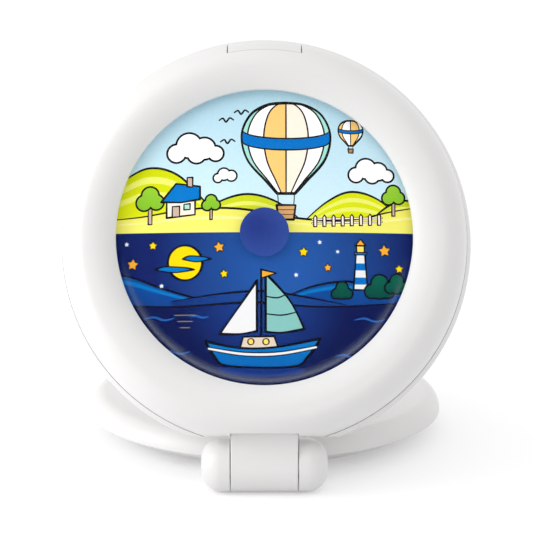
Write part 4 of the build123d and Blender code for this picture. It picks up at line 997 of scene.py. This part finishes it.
def figure_bars(sign, height):
    """Bars of a sign of seven segments, about its middle; a colon has its two dots as bars m and n."""
    reach, quarter, width = 0.26 * height, 0.25 * height, 0.11 * height
    lying, upright, dot = 2 * reach - 0.4 * width, 2 * quarter - 0.4 * width, 1.3 * width
    bars = {
        "a": bar(0, 2 * quarter, lying, width, False),
        "b": bar(reach, quarter, upright, width, True),
        "c": bar(reach, -quarter, upright, width, True),
        "d": bar(0, -2 * quarter, lying, width, False),
        "e": bar(-reach, -quarter, upright, width, True),
        "f": bar(-reach, quarter, upright, width, True),
        "g": bar(0, 0, lying, width, False),
        "m": bar(0, quarter, dot, width, True),
        "n": bar(0, -quarter, dot, width, True),
    }
    return [bars[name] for name in SEGMENTS[sign]]


def display_time(text):
    """Flat ink on the display's glass, laid from its reader's left to right."""
    glass = node_points("lcd_display")
    low, high = min(up for across, up, out in glass), max(up for across, up, out in glass)
    face = min(out for across, up, out in glass) - INK
    height = FIGURE_HEIGHT * (high - low)
    steps = [height * (COLON_STEP if sign == ":" else FIGURE_STEP) for sign in text]
    x = -sum(steps) / 2
    corners, faces = [], []
    for sign, step in zip(text, steps):
        for outline in figure_bars(sign, height):
            faces.append(range(len(corners), len(corners) + len(outline)))
            for across, up in outline:
                place = UP_DIAL * ((low + high) / 2 + up) + OUT_OF_DIAL * face
                corners.append(HINGE - Vector((x + step / 2 + across, 0, 0)) + place)
        x += step
    mesh = bpy.data.meshes.new("display_figures")
    mesh.from_pydata(corners, [], faces)
    mesh.materials.append(moulded("display_ink", linear(34, 40, 38), 0.5, spread=0.2))
    return add_object("display_figures", mesh)


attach(display_time("7:30"), "clock_head")


# ---- Floor, world and lamps ----
FLOOR_HALF = 8.0
FLOOR_LIT = (0.86, 0.86, 0.865, 1)
FLOOR_SEEN = (0.76, 0.76, 0.765, 1)
FLOOR_GLOW = 0.38
WORLD_LIGHT = 0.66
CLOCK_MIDDLE = Vector((0, 0, 0.07))


def camera_mix(tree, seen, lit):
    """Shader seen by the camera, also in a reflection or through a clear piece, and lit elsewhere."""
    path = tree.nodes.new("ShaderNodeLightPath")
    most = path.outputs["Is Camera Ray"]
    for name in ("Is Glossy Ray", "Is Transmission Ray"):
        most = calculate(tree, "MAXIMUM", most, path.outputs[name])
    return mix_shaders(tree, most, lit, seen)


def make_floor():
    """Floor that lights the clock as paper does, and is seen almost as white as the world."""
    half = FLOOR_HALF
    mesh = bpy.data.meshes.new("floor")
    corners = [(-half, -half, 0), (half, -half, 0), (half, half, 0), (-half, half, 0)]
    mesh.from_pydata(corners, [], [(0, 1, 2, 3)])
    floor = add_object("floor", mesh)
    material, tree = bare_material("floor")
    lit = tree.nodes.new("ShaderNodeBsdfDiffuse")
    lit.inputs["Color"].default_value = FLOOR_LIT
    paper = tree.nodes.new("ShaderNodeBsdfDiffuse")
    paper.inputs["Color"].default_value = FLOOR_SEEN
    glow = tree.nodes.new("ShaderNodeEmission")
    glow.inputs["Strength"].default_value = FLOOR_GLOW
    add = tree.nodes.new("ShaderNodeAddShader")
    tree.links.new(paper.outputs["BSDF"], add.inputs[0])
    tree.links.new(glow.outputs["Emission"], add.inputs[1])
    surface = camera_mix(tree, add.outputs["Shader"], lit.outputs["BSDF"])
    tree.links.new(surface, tree.nodes["Material Output"].inputs["Surface"])
    mesh.materials.append(material)


def make_world():
    """Even white light, seen as pure white."""
    world = bpy.data.worlds.new("world")
    world.use_nodes = True
    tree = world.node_tree
    lit = tree.nodes["Background"]
    lit.inputs["Color"].default_value = grey(1)
    lit.inputs["Strength"].default_value = WORLD_LIGHT
    seen = tree.nodes.new("ShaderNodeBackground")
    seen.inputs["Color"].default_value = grey(1)
    surface = camera_mix(tree, seen.outputs["Background"], lit.outputs["Background"])
    tree.links.new(surface, tree.nodes["World Output"].inputs["Surface"])
    bpy.context.scene.world = world


def aimed_lamp(name, kind, strength, towards):
    """Lamp whose light comes from a direction."""
    data = bpy.data.lights.new(name, kind)
    data.energy = strength
    lamp = add_object(name, data)
    lamp.rotation_euler = Vector(towards).to_track_quat("Z", "Y").to_euler()
    return lamp


def distant(name, strength, spread, towards):
    """Broad distant lamp; towards is the direction from the clock to the lamp."""
    lamp = aimed_lamp(name, "SUN", strength, towards)
    lamp.data.angle = math.radians(spread)


def softbox(name, watts, side, place):
    """Square lamp of a side in metres, aimed at the clock."""
    lamp = aimed_lamp(name, "AREA", watts, Vector(place) - CLOCK_MIDDLE)
    lamp.data.size = side
    lamp.location = place


make_floor()
make_world()
distant("key", 0.31, 60, (-0.86, -0.36, 0.42))
distant("top", 0.52, 90, (0.1, -0.25, 1.0))
softbox("left", 0.72, 0.3, (-0.42, -0.16, 0.16))
